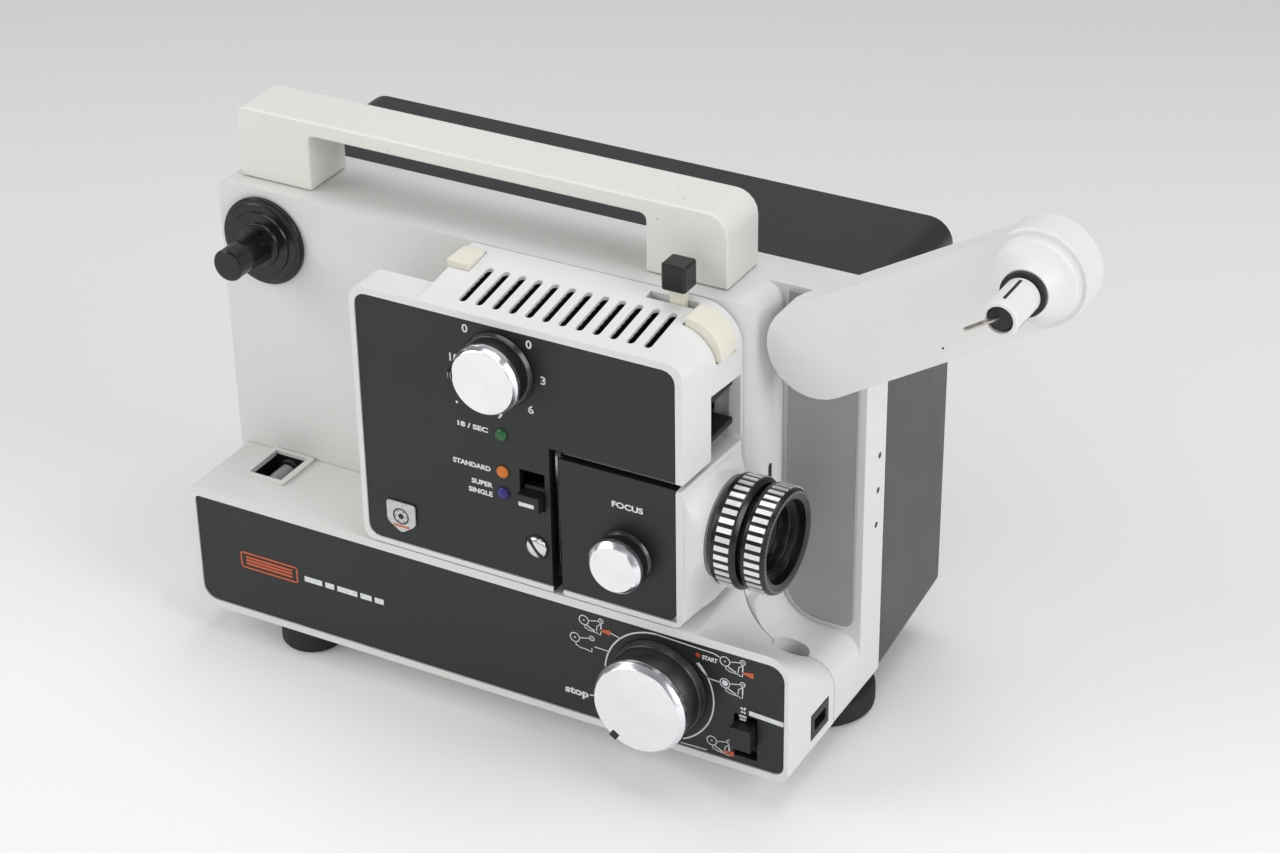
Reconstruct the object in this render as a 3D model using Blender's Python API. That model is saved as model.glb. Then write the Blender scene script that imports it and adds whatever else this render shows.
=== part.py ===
"""Dual-gauge 8 mm cine projector with a folding feed arm, as separate named pieces.

Lengths in this file are millimetres from the datum, the bottom front left corner of the base housing:
X runs along the lens axis towards the screen, Y away from the operator and Z up. The datum empty places
that corner so that the projector stands on Z = 0 with its bounding box centred on the Z axis.
"""

import math

import bmesh
import bpy

MM = 0.001
CLEAR = 0.3  # play between pieces that touch or run in each other
FLAT_ANGLE = 0.0001  # faces bent by more than this many radians are split into flat ones

# Where the datum corner lies in the world: the arm tip makes the projector reach further right than left.
DATUM = (-168.2, -57.3, 12.0)

# Housings
BASE_LEFT, BASE_RIGHT = -1.0, 254.9
BASE_TOP = 52.5
SEAM = 38.3  # plane between the front housings and the body shell
BODY_LEFT, BODY_RIGHT = -2.2, 254.7
BODY_TOP = 164.6
BODY_BACK = 77.0
REAR_LEFT, REAR_RIGHT = 3.7, 254.7
REAR_BACK = 131.2
REAR_BACK_BOTTOM = 7.4
WALL = 3.0
LEDGE = 28.4  # floor of the recess that the folded arm swings down into
LEDGE_FOOT, LEDGE_HEAD = (223.5, LEDGE), 217.4  # where the sweeping curve meets the ledge and the base top
RECESS_LEFT = 222.4
RECESS_BACK = 59.6
FLOOR = -12.0  # underside of the feet

# Mechanism cover, its dark front panel and the door opening cut out of both
COVER_LEFT, COVER_FRONT_RIGHT, COVER_BACK_RIGHT = 80.5, 213.6, 217.0
COVER_BOTTOM, COVER_FRONT_TOP, COVER_BACK_TOP = 53.1, 158.4, 164.2
COVER_BLOCK_LEFT = 109.0
COVER_BACK = 38.0
WING_DEPTH = 14.5
PANEL_FACE, PANEL_THICK = 0.4, 1.2
PANEL_LEFT, PANEL_RIGHT, PANEL_BOTTOM, PANEL_TOP = 82.9, 210.6, 55.4, 155.4
DOOR_GAP_LEFT, DOOR_GAP_TOP = 160.8, 112.2
GRILLE_SLOTS, GRILLE_FIRST, GRILLE_PITCH, GRILLE_WIDTH = 12, 124.0, 6.65, 3.0
CATCH_PLAY = 0.6  # extra room for the right catch, which moves down and to the left
LEDGE_STEPS = 14  # facets of the curve that sweeps down to the ledge
BASE_SECTIONS = 5  # rows of facets from the base's level front edge back to that curve

# Lens door and lens
DOOR_LEFT, DOOR_FRONT_TOP, DOOR_BACK_TOP = 164.6, 109.4, 111.6
HINGE = (215.5, 36.5)
LENS_Y, LENS_Z = 19.0, 88.0
BARREL_R, BARREL_BORE = 14.9, 12.2
BOSS_R, BOSS_END = 18.6, 221.6  # collar of the door around the barrel; the rear ring slides up to it
ZOOM_R, REAR_RING_R = 19.8, 20.6

# Controls, each placed by (X, Z) on the front
SPEED = (141.0, 139.0)
MODE = (203.4, 25.7)
FOCUS = (190.6, 76.7)
SWITCH_X, SWITCH_Z = (148.2, 158.5), (85.6, 100.9)
INDICATOR_X = 141.4
SCREW = (154.7, 70.3)

# Reel spindles and feed arm
TAKE_UP = (17.6, 144.0)
ARM_HUB = (242.2, 151.0)
ARM_TIP = (321.0, 197.8)
ARM_FRONT, ARM_BACK = 42.0, 53.0
SPINDLE_R = 6.35

# Drive behind the front
SHAFT_Y, SHAFT_Z = 51.0, 92.0
WHEEL_R, ROLLER_R = 9.0, 3.2
MOTOR_Y = SHAFT_Y + WHEEL_R + ROLLER_R + CLEAR
SPROCKET = (188.0, 127.0)


# ---- materials -------------------------------------------------------------------------------------------

def make_material(name, colour, roughness, metallic=0.0):
    material = bpy.data.materials.new(name)
    material.use_nodes = True
    shader = material.node_tree.nodes["Principled BSDF"]
    shader.inputs["Base Color"].default_value = (*colour, 1.0)
    shader.inputs["Roughness"].default_value = roughness
    shader.inputs["Metallic"].default_value = metallic
    return material


def make_materials():
    return {
        "white": make_material("white_plastic", (0.66, 0.66, 0.65), 0.45),
        "cream": make_material("cream_plastic", (0.68, 0.67, 0.60), 0.45),
        "black": make_material("black_plastic", (0.015, 0.015, 0.016), 0.45),
        "dark": make_material("dark_panel", (0.035, 0.036, 0.038), 0.4),
        "grey": make_material("grey_liner", (0.35, 0.34, 0.33), 0.6),
        "rubber": make_material("rubber", (0.02, 0.02, 0.02), 0.8),
        "silver": make_material("spun_aluminium", (0.80, 0.80, 0.80), 0.25, 1.0),
        "steel": make_material("steel", (0.55, 0.55, 0.56), 0.35, 1.0),
        "glass": make_material("lens_glass", (0.10, 0.12, 0.14), 0.05),
        "green": make_material("green_lens", (0.06, 0.11, 0.07), 0.2),
        "orange": make_material("orange_lens", (0.32, 0.10, 0.02), 0.2),
        "blue": make_material("blue_lens", (0.03, 0.02, 0.12), 0.2),
        "badge": make_material("badge_plate", (0.62, 0.62, 0.60), 0.35),
    }


# ---- modelling tools -------------------------------------------------------------------------------------

def rounded(corners, steps=5):
    """Closed outline from corners (u, v) or (u, v, radius), each radius turned as an arc of equal steps."""
    points = []
    count = len(corners)
    for index, corner in enumerate(corners):
        u, v = corner[0], corner[1]
        radius = corner[2] if len(corner) > 2 else 0.0
        if radius <= 0.0:
            points.append((u, v))
            continue
        before, after = corners[index - 1], corners[(index + 1) % count]
        in_u, in_v = before[0] - u, before[1] - v
        out_u, out_v = after[0] - u, after[1] - v
        in_length, out_length = math.hypot(in_u, in_v), math.hypot(out_u, out_v)
        in_u, in_v, out_u, out_v = in_u / in_length, in_v / in_length, out_u / out_length, out_v / out_length
        half = math.acos(max(-1.0, min(1.0, in_u * out_u + in_v * out_v))) / 2
        middle_u, middle_v = in_u + out_u, in_v + out_v
        middle = math.hypot(middle_u, middle_v)
        reach = radius / math.sin(half)
        centre_u, centre_v = u + middle_u / middle * reach, v + middle_v / middle * reach
        tangent = radius / math.tan(half)
        start = math.atan2(v + in_v * tangent - centre_v, u + in_u * tangent - centre_u)
        end = math.atan2(v + out_v * tangent - centre_v, u + out_u * tangent - centre_u)
        sweep = (end - start + math.pi) % (2 * math.pi) - math.pi
        for step in range(steps + 1):
            angle = start + sweep * step / steps
            points.append((centre_u + radius * math.cos(angle), centre_v + radius * math.sin(angle)))
    return points


def rectangle(u_low, u_high, v_low, v_high, radius=0.0, steps=4):
    return rounded([(u_low, v_low, radius), (u_high, v_low, radius), (u_high, v_high, radius),
                    (u_low, v_high, radius)], steps)


def circle(centre_u, centre_v, radius, segments=24):
    return [(centre_u + radius * math.cos(2 * math.pi * k / segments),
             centre_v + radius * math.sin(2 * math.pi * k / segments)) for k in range(segments)]


def place(axis, along, u, v):
    """Point at distance `along` an axis; u and v are the other two coordinates in X, Y, Z order."""
    return {"X": (along, u, v), "Y": (u, along, v), "Z": (u, v, along)}[axis]


class Builder:
    """Makes objects under the datum empty, each with its origin at a chosen point."""

    def __init__(self, datum, materials):
        self.datum = datum
        self.materials = materials

    def add(self, name, points, faces, material, origin=(0.0, 0.0, 0.0)):
        mesh = bpy.data.meshes.new(name)
        mesh.from_pydata([tuple((p - o) * MM for p, o in zip(point, origin)) for point in points], [], faces)
        shape = bmesh.new()
        shape.from_mesh(mesh)
        bmesh.ops.connect_verts_nonplanar(shape, angle_limit=FLAT_ANGLE, faces=shape.faces)
        bmesh.ops.recalc_face_normals(shape, faces=shape.faces)
        shape.to_mesh(mesh)
        shape.free()
        item = bpy.data.objects.new(name, mesh)
        item.location = tuple(o * MM for o in origin)
        item.parent = self.datum
        bpy.context.scene.collection.objects.link(item)
        if material:
            mesh.materials.append(self.materials[material])
        return item

    def loft(self, name, axis, sections, material=None, origin=(0.0, 0.0, 0.0)):
        """Solid through outlines of equal length; sections are (distance along the axis, outline)."""
        count = len(sections[0][1])
        points = [place(axis, along, u, v) for along, outline in sections for u, v in outline]
        faces = [tuple(range(count)), tuple(range(len(points) - count, len(points)))]
        for level in range(len(sections) - 1):
            for k in range(count):
                a, b = level * count + k, level * count + (k + 1) % count
                faces.append((a, b, b + count, a + count))
        return self.add(name, points, faces, material, origin)

    def prism(self, name, axis, outline, low, high, material=None, origin=(0.0, 0.0, 0.0)):
        return self.loft(name, axis, [(low, outline), (high, outline)], material, origin)

    def box(self, name, x, y, z, material=None, origin=(0.0, 0.0, 0.0)):
        return self.prism(name, "Z", rectangle(*x, *y), z[0], z[1], material, origin)

    def turned(self, name, axis, centre, profile, material=None, segments=24):
        """Solid of revolution; the profile is (radius, distance along the axis) and is closed by itself."""
        points, rings = [], []
        for radius, along in profile:
            if radius <= 0.0:
                rings.append([len(points)] * segments)
                points.append(place(axis, along, *centre))
                continue
            rings.append(list(range(len(points), len(points) + segments)))
            points += [place(axis, along, *uv) for uv in circle(*centre, radius, segments)]
        faces = []
        for ring, following in zip(rings, rings[1:] + rings[:1]):
            if ring[0] == ring[1] and following[0] == following[1]:
                continue
            for k in range(segments):
                quad = (ring[k], ring[(k + 1) % segments], following[(k + 1) % segments], following[k])
                faces.append(tuple(dict.fromkeys(quad)))
        return self.add(name, points, faces, material, place(axis, profile[0][1], *centre))

    def disc(self, name, axis, centre, radius, low, high, material=None, segments=24):
        return self.turned(name, axis, centre, [(0, low), (radius, low), (radius, high), (0, high)],
                           material, segments)


def shape_with(item, tool, operation):
    """Boolean of an object with a helper that isn't a piece itself."""
    tool.hide_render = True
    tool.display_type = "WIRE"
    change = item.modifiers.new(tool.name, "BOOLEAN")
    change.operation = operation
    change.object = tool
    change.solver = "EXACT"


def cut(item, *tools):
    for tool in tools:
        shape_with(item, tool, "DIFFERENCE")


def fuse(item, *tools):
    for tool in tools:
        shape_with(item, tool, "UNION")


# ---- housings --------------------------------------------------------------------------------------------

def ledge_outline():
    """Front view of the base, whose right part drops to the ledge in one sweeping curve."""
    return rounded([(BASE_LEFT, 0, 7), (BASE_RIGHT, 0, 4), (BASE_RIGHT, LEDGE, 10), (*LEDGE_FOOT, 24),
                    (LEDGE_HEAD, BASE_TOP, 2), (BASE_LEFT, BASE_TOP, 4)], LEDGE_STEPS)


def ledge_sweep(foot_x, foot_z, radius, head_x):
    """Outline of the body's fillet between its ledge and its column, in line with the base's curve."""
    return rounded([(205, 20), (240, 20), (240, foot_z), (foot_x, foot_z, radius), (head_x, BASE_TOP, 2),
                    (205, BASE_TOP)], 8)


def front_top(x):
    """Height of the base's front edge at x: level, with a rounded right corner."""
    corner = 8.0
    past = max(0.0, x - (BASE_RIGHT - corner))
    return BASE_TOP - corner + math.sqrt(max(0.0, corner ** 2 - past ** 2))


def build_base(make):
    back = ledge_outline()
    front = [(x, front_top(x)) if z > LEDGE - 10.01 and x > 210 else (x, z) for x, z in back]
    sections = []
    for step in range(BASE_SECTIONS + 1):
        share = step / BASE_SECTIONS
        outline = [(x, near + (far - near) * share) for (x, near), (_, far) in zip(front, back)]
        sections.append(((SEAM - CLEAR) * share, outline))
    shell = make.loft("base_shell", "Y", sections, "white")
    cut(shell,
        make.box("base_hollow", (2, 214), (WALL + 2, 40), (WALL, BASE_TOP - WALL)),
        make.box("base_hollow_right", (213, 251.9), (WALL + 2, 40), (WALL, LEDGE - WALL)),
        make.prism("base_panel_pocket", "Y", base_panel_outline(CLEAR), -2, PANEL_FACE + PANEL_THICK + CLEAR),
        make.box("film_exit_hole", (15, 30), (19, 36), (40, 60)),
        make.box("trimmer_hole", (246, 260), (18.6, 33.3), (6.7, 18.0)),
        make.box("trimmer_lever_slot", (233.4, 242.6), (-1, 12), (3.0 + WALL, 24.0)),
        make.turned("arm_catch_well_front", "Z", (237, 38), [(0, 16), (7, 16), (7, 60), (0, 60)]),
        make.disc("mode_shaft_hole", "Y", MODE, 3.6, -2, 12))
    rim = make.prism("film_exit_rim", "Z", rectangle(14, 33, 15.6, 37.6, 1.5), BASE_TOP - 1, BASE_TOP + 1.2)
    cut(rim, make.box("film_exit_rim_hole", (16, 30.5), (18, 36), (50, 56)))
    fuse(shell, rim)

    panel = make.prism("base_panel", "Y", base_panel_outline(0.0), PANEL_FACE, PANEL_FACE + PANEL_THICK, "dark")
    cut(panel,
        make.disc("mode_hole", "Y", MODE, 3.6, -2, 4),
        make.box("trimmer_lever_window", (233.4, 242.6), (-2, 4), (3.0 + WALL, 24.0)))

    insert = make.box("film_trimmer", (248.0, 255.1), (18.9, 33.0), (7.0, 17.7), "black")
    cut(insert, make.box("trimmer_slot", (249.5, 258), (21.5, 30.5), (10.0, 14.6)))

    make.turned("exit_roller", "Y", (23.0, 46.5),
                [(0, 19.6), (5.5, 19.6), (5.5, 21.2), (3.8, 21.8), (3.8, 33.2), (5.5, 33.8), (5.5, 35.4),
                 (0, 35.4)], "white", 20)


def base_panel_outline(grow):
    return rounded([(3.0 - grow, 3.2 - grow, 6), (253.0 + grow, 3.2 - grow, 4), (253.0 + grow, 48.8 + grow, 6),
                    (3.0 - grow, 48.8 + grow, 2)], 5)


def build_body(make):
    front_slab = rounded([(BODY_LEFT, 0, 4), (BODY_RIGHT, 0, 4), (BODY_RIGHT, LEDGE, 10),
                          (RECESS_LEFT, LEDGE, 16), (RECESS_LEFT, BODY_TOP, 8), (BODY_LEFT, BODY_TOP, 4)], 6)
    shell = make.prism("body_shell", "Y", front_slab, SEAM, RECESS_BACK + 1, "white")
    back_slab = rectangle(BODY_LEFT, BODY_RIGHT, 0, BODY_TOP, 4)
    fuse(shell, make.prism("body_back_slab", "Y", back_slab, RECESS_BACK, BODY_BACK))
    corner = rounded([(RECESS_LEFT, SEAM + 12), (RECESS_LEFT, SEAM, 12), (RECESS_LEFT - 12, SEAM),
                      (RECESS_LEFT - 12, SEAM - 5), (RECESS_LEFT + 5, SEAM - 5),
                      (RECESS_LEFT + 5, SEAM + 12)], 8)
    cut(shell, make.prism("column_corner", "Z", corner, LEDGE + 18, 180))
    sunk = 0.2
    sweep = [(SEAM, ledge_sweep(LEDGE_FOOT[0], LEDGE - sunk, 24, LEDGE_HEAD)),
             (RECESS_BACK + 0.5, ledge_sweep(RECESS_LEFT - 3 * sunk, LEDGE - sunk, 16, RECESS_LEFT - 3 * sunk))]
    fuse(shell, make.loft("ledge_fillet", "Y", sweep))
    cut(shell,
        make.box("body_hollow", (1, 214.5), (SEAM + WALL, 90), (WALL, BODY_TOP - WALL)),
        make.box("body_hollow_right", (218, BODY_RIGHT - WALL), (RECESS_BACK + WALL, 90),
                 (WALL, BODY_TOP - WALL)),
        make.box("body_hollow_ledge", (218, BODY_RIGHT - WALL), (SEAM + WALL, 90), (WALL, LEDGE - 10)),
        make.box("mechanism_opening", (112.5, 206), (SEAM - 3, SEAM + 6), (56, 150)),
        make.disc("take_up_shaft_hole", "Y", TAKE_UP, 3.6, SEAM - 3, 90),
        make.turned("arm_catch_well_back", "Z", (237, 38), [(0, 19), (7, 19), (7, 60), (0, 60)]),
        make.box("base_cable_hole", (60, 90), (SEAM - 3, SEAM + 6), (12, 40)),
        make.disc("tilt_stem_hole", "Z", (235, 68.5), 3.6, -3, 6))

    liner = make.prism("recess_liner", "Y",
                       rounded([(252.0, 163.2, 1.5), (224.6, 163.2), (224.6, LEDGE + 2.2, 14.5),
                                (252.0, LEDGE + 2.2, 4)], 6), 58.3, 59.3, "grey")
    cut(liner, make.disc("arm_post_hole", "Y", ARM_HUB, 9.4, 50, 70))
    make.turned("arm_pivot", "Y", ARM_HUB,
                [(0, 44.4), (5.0, 44.4), (5.0, 53.3), (9.0, 53.3), (9.0, RECESS_BACK - CLEAR),
                 (0, RECESS_BACK - CLEAR)], "steel")

    handle = rounded([(4, 0.3 + BODY_TOP), (4, 193, 3), (207.7, 193, 8.5), (207.7, 0.3 + BODY_TOP),
                      (175.6, 0.3 + BODY_TOP), (175.6, 187, 2.5), (35.3, 187, 2.5), (35.3, 0.3 + BODY_TOP)], 5)
    make.prism("carry_handle", "Y", handle, 45, 68.5, "cream")


def build_rear(make):
    def section(bottom):
        return rounded([(REAR_LEFT, bottom, 6), (REAR_RIGHT, bottom, 6), (REAR_RIGHT, BODY_TOP, 9.5),
                        (REAR_LEFT, BODY_TOP, 9.5)], 6)

    cover = make.loft("rear_cover", "Y",
                      [(BODY_BACK + CLEAR, section(0)), (REAR_BACK, section(REAR_BACK_BOTTOM))], "dark")
    cut(cover,
        make.box("rear_hollow", (REAR_LEFT + WALL, REAR_RIGHT - WALL), (70, REAR_BACK - WALL),
                 (REAR_BACK_BOTTOM + 2.4, BODY_TOP - WALL)),
        make.prism("inlet_hole", "Y", rectangle(38.7, 63.3, 21.7, 38.3), 120, 140))
    for k in range(8):
        low = 60 + 9 * k
        slot = make.prism(f"rear_vent_{k}", "Y", rectangle(70, 130, low, low + 3.2), 120, 140)
        cut(cover, slot)

    inlet = make.box("power_inlet", (39, 63), (117, REAR_BACK), (22, 38), "black")
    cut(inlet, make.prism("inlet_socket", "Y", rectangle(41, 61, 24, 36), 121, 140))
    for side in (-1, 1):
        x = 51 + 4.8 * side
        fuse(inlet, make.prism(f"inlet_pin_{side}", "Y", rectangle(x - 1.2, x + 1.2, 28.6, 31.4), 120, 126))


def build_feet(make):
    pad = [(0, FLOOR), (11.3, FLOOR), (12.5, FLOOR + 1.5), (12.5, -CLEAR), (0, -CLEAR)]
    make.turned("front_foot", "Z", (43, 14.6), pad, "rubber")
    rear_pad = pad[:3] + [(12.5, 3.6), (0, 3.6)]
    make.turned("rear_foot", "Z", (43, 117), rear_pad, "rubber")
    make.turned("tilt_wheel", "Z", (235, 68.5),
                [(0, FLOOR), (19.2, FLOOR), (20.7, FLOOR + 1.5), (20.7, -3.6), (19.5, -2.4), (3.3, -2.4),
                 (3.3, -8.0), (0, -8.0)], "rubber", 32)
    make.turned("tilt_stem", "Z", (235, 68.5), [(0, -7.7), (3.0, -7.7), (3.0, 16), (0, 16)], "steel", 16)


# ---- mechanism cover and its controls --------------------------------------------------------------------

def cover_section(y):
    """Outline of the cover's main block at depth y: its top climbs and its side spreads to the seam."""
    depth = y / COVER_BACK
    top = COVER_FRONT_TOP + (COVER_BACK_TOP - COVER_FRONT_TOP) * depth
    right = COVER_FRONT_RIGHT + (COVER_BACK_RIGHT - COVER_FRONT_RIGHT) * depth
    radius = 5.5 + 9.5 * min(1.0, depth * 1.8)
    return rounded([(COVER_BLOCK_LEFT, COVER_BOTTOM), (right, COVER_BOTTOM), (right, top, radius),
                    (COVER_BLOCK_LEFT, top)], 8)


def cover_top(y):
    return COVER_FRONT_TOP + (COVER_BACK_TOP - COVER_FRONT_TOP) * y / COVER_BACK


def build_cover(make):
    cover = make.loft("mechanism_cover", "Y", [(y, cover_section(y)) for y in (0.0, 10.0, 21.1, COVER_BACK)],
                      "white")
    wing = rounded([(COVER_LEFT, COVER_BOTTOM, 4.5), (COVER_BLOCK_LEFT + 3, COVER_BOTTOM),
                    (COVER_BLOCK_LEFT + 3, COVER_FRONT_TOP), (COVER_LEFT, COVER_FRONT_TOP, 5.5)], 6)
    fuse(cover, make.prism("cover_wing", "Y", wing, 0.0, WING_DEPTH))
    inner_top = COVER_FRONT_TOP - 2.6
    hollow = [(y, rounded([(111.5, COVER_BOTTOM + 2.5), (210.5, COVER_BOTTOM + 2.5),
                           (210.5 + 3.0 * (y - 4) / 36, inner_top + 5.0 * (y - 4) / 36, 10),
                           (111.5, inner_top + 5.0 * (y - 4) / 36)], 6)) for y in (4.4, 40.0)]
    cut(cover,
        make.loft("cover_hollow", "Y", hollow),
        make.prism("cover_panel_pocket", "Y", rectangle(PANEL_LEFT - CLEAR, PANEL_RIGHT + CLEAR,
                                                        PANEL_BOTTOM - CLEAR, PANEL_TOP + CLEAR, 4.8),
                   -2, PANEL_FACE + PANEL_THICK + CLEAR),
        make.box("wing_hollow", (83, 112), (4.4, WING_DEPTH - 2), (COVER_BOTTOM + 2.5, inner_top)),
        door_opening(make),
        make.box("film_entry", (205, 222), (18, 37.0), (108, 138.5)),
        make.disc("speed_shaft_hole", "Y", SPEED, 3.6, -2, 10),
        make.box("switch_hole", (SWITCH_X[0] - 0.5, SWITCH_X[1] + 0.5), (-2, 10),
                 (SWITCH_Z[0] - 1.5, SWITCH_Z[1] + 1.5)),
        make.disc("screw_hole", "Y", SCREW, 2.4, -2, 10),
        make.box("framing_slot", (183, 202), (31, 35), (150, 175)))
    for k in range(GRILLE_SLOTS):
        left = GRILLE_FIRST + GRILLE_PITCH * k - GRILLE_WIDTH / 2
        slot = rectangle(left, left + GRILLE_WIDTH, 5.5, 26.5, 1.4, 3)
        cut(cover, make.prism(f"grille_slot_{k}", "Z", slot, 148, 175))
    notch_left, notch_right = catch_outlines(CLEAR, 6.0, CATCH_PLAY)
    cut(cover,
        make.prism("catch_notch_left", "Y", notch_left, 22.0 - CLEAR, 34.0 + CLEAR),
        make.prism("catch_notch_right", "Y", notch_right, 22.0 - CLEAR, 34.0 + CLEAR))

    panel = make.prism("mechanism_panel", "Y",
                       rectangle(PANEL_LEFT, PANEL_RIGHT, PANEL_BOTTOM, PANEL_TOP, 4.5, 5),
                       PANEL_FACE, PANEL_FACE + PANEL_THICK, "dark")
    cut(panel,
        make.box("panel_door_corner", (DOOR_GAP_LEFT - 0.2, 230), (-3, 4), (40, DOOR_GAP_TOP + 0.2)),
        make.disc("speed_hole", "Y", SPEED, 3.6, -2, 4),
        make.prism("switch_window", "Y", rectangle(*SWITCH_X, *SWITCH_Z), -2, 4),
        make.disc("screw_seat", "Y", SCREW, 5.0, -2, 4))
    for name, z in (("green", 112.9), ("orange", 97.7), ("blue", 88.9)):
        cut(panel, make.disc(f"{name}_hole", "Y", (INDICATOR_X, z), 2.9, -2, 4))
        make.turned(f"indicator_{name}", "Y", (INDICATOR_X, z),
                    [(0, -0.9), (1.5, -0.7), (2.5, 0.1), (2.5, 1.5), (0, 1.5)], name, 16)

    shield = rounded([(91.4, 72.7, 1), (103.5, 72.7, 1), (103.5, 64.0, 3), (97.45, 59.9, 2),
                      (91.4, 64.0, 3)], 3)
    make.prism("badge_plate", "Y", shield, -0.6, PANEL_FACE - CLEAR, "badge")
    screw = make.turned("cover_screw", "Y", SCREW,
                        [(0, -1.3), (4.2, -1.3), (4.65, -0.8), (4.65, 1.6), (2.0, 1.6), (2.0, 9), (0, 9)],
                        "steel")
    slot = make.box("screw_slot", (SCREW[0] - 6, SCREW[0] + 6), (-3, -0.2), (SCREW[1] - 0.6, SCREW[1] + 0.6))
    cut(screw, slot)

    build_catches(make)
    build_slides(make)


def door_opening(make):
    """Cutter for the door: its top edge climbs to the back like the door itself."""
    outlines = [(y, rectangle(DOOR_GAP_LEFT, 230, 40, DOOR_GAP_TOP + (DOOR_BACK_TOP - DOOR_FRONT_TOP) * share))
                for y, share in ((-3, -3 / COVER_BACK), (41, 41 / COVER_BACK))]
    return make.loft("door_opening", "Y", outlines)


def catch_outlines(grow, deep, play):
    """Front views of the two cover catches: a tab on the top left and one that wraps the top right corner.

    The right one is pressed down and to the left, so its notch has play on those sides."""
    left = rectangle(108.0 - grow, 117.0 + grow, cover_top(22) - 2.4 - deep, cover_top(34) + 1.0 + 4 * grow)
    near, low = 203.0 - grow - play, 150.0 - grow - play
    right = rounded([(near, 164.6 + 2 * grow), (near, 160.0 - deep), (209.5 - deep, 158.6 - deep, 4),
                     (212.0 - deep, low), (217.2 + 2 * grow, low),
                     (217.2 + 2 * grow, 164.6 + 2 * grow, 13.5)], 6)
    return left, right


def build_catches(make):
    left, right = catch_outlines(0.0, 0.0, 0.0)
    make.prism("cover_catch_left", "Y", left, 22.0, 34.0, "cream", (112.5, 28, 163))
    make.prism("cover_catch_right", "Y", right, 22.0, 34.0, "cream", (212, 28, 159))


def build_slides(make):
    """Format switch in the panel, framing lever on the top and film trimmer lever in the base."""
    middle = sum(SWITCH_X) / 2
    switch = make.box("format_switch", (SWITCH_X[0] + 0.6, SWITCH_X[1] - 0.6), (-3.4, 5.6), (86.2, 92.8),
                      "black", (middle, 0, 89.5))
    fuse(switch, make.box("switch_foot", (SWITCH_X[0] + 0.6, SWITCH_X[1] - 0.6), (2.2, 5.6), (85.2, 93.8)))

    lever = make.box("framing_lever", (192.0, 198.0), (31.6, 34.4), (150.5, 168.7), "cream", (195, 33, 164))
    fuse(lever, make.box("framing_foot", (189.5, 200.5), (29.6, 34.4), (148.5, 150.9)))
    make.prism("framing_knob", "Z", rectangle(190.2, 199.8, 28.4, 37.6, 1.0, 2), 169.0, 179.0, "black",
                      (195, 33, 169))

    trimmer = make.box("trimmer_lever", (233.9, 242.1), (-4.2, 2.6), (12.0, 21.0), "black", (238, 0, 16.5))
    fuse(trimmer, make.box("trimmer_foot", (235.0, 241.0), (2.0, 9.0), (12.5, 20.5)))


def build_knob(make, name, axis, rings, depths, tab=None):
    """Skirted knob with a turned cap let into its front; a tab of the knob shows through the cap's rim.

    rings is (flange radius, skirt radius, cap radius, face radius); depths is (flange, skirt, rim, face),
    each measured towards the front; tab is (angle in degrees, inner radius, half width)."""
    flange, knurl, cap, face = rings
    flange_depth, knurl_depth, rim_depth, face_depth = depths
    body = make.turned(name, "Y", axis,
                       [(0, -knurl_depth + 0.6), (knurl - 1.2, -knurl_depth + 0.6),
                        (knurl, -knurl_depth + 1.0),
                        (knurl, -flange_depth), (flange - 0.6, -flange_depth), (flange, PANEL_FACE - CLEAR),
                        (3.0, PANEL_FACE - CLEAR),
                        (3.0, 6.2), (0, 6.2)], "black", 32)
    top = make.turned(f"{name}_cap", "Y", axis,
                      [(0, -face_depth), (face, -face_depth), (cap, -rim_depth), (cap, -knurl_depth),
                       (cap - 1.0, -knurl_depth + 0.3), (0, -knurl_depth + 0.3)], "silver", 32)
    if not tab:
        return
    angle, tab_inner, tab_half = math.radians(tab[0]), tab[1], tab[2]
    across = (-math.sin(angle), math.cos(angle))

    def radial_bar(label, inner, outer, half, low, high):
        corners = [(inner, -half), (outer, -half), (outer, half), (inner, half)]
        outline = [(axis[0] + r * math.cos(angle) + s * across[0],
                    axis[1] + r * math.sin(angle) + s * across[1]) for r, s in corners]
        return make.prism(label, "Y", outline, low, high)

    cut(top, radial_bar(f"{name}_cap_notch", tab_inner - 0.5, cap + 5, tab_half + 0.5, -face_depth - 3, 0))
    fuse(body, radial_bar(f"{name}_tab", tab_inner, cap + 0.2, tab_half, -face_depth + 0.3,
                          -knurl_depth + 1.2))


def build_knobs(make):
    build_knob(make, "speed_knob", SPEED, (14.6, 13.0, 13.3, 12.1), (2.0, 6.6, 8.3, 10.7), (180, 11.6, 1.4))
    build_knob(make, "mode_knob", MODE, (19.4, 18.2, 18.4, 17.0), (3.4, 12.2, 14.2, 16.6), (236, 14.7, 1.6))
    build_knob(make, "focus_knob", FOCUS, (10.8, 10.1, 10.5, 8.9), (1.6, 5.6, 7.7, 9.6))


# ---- lens door and lens ----------------------------------------------------------------------------------

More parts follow.
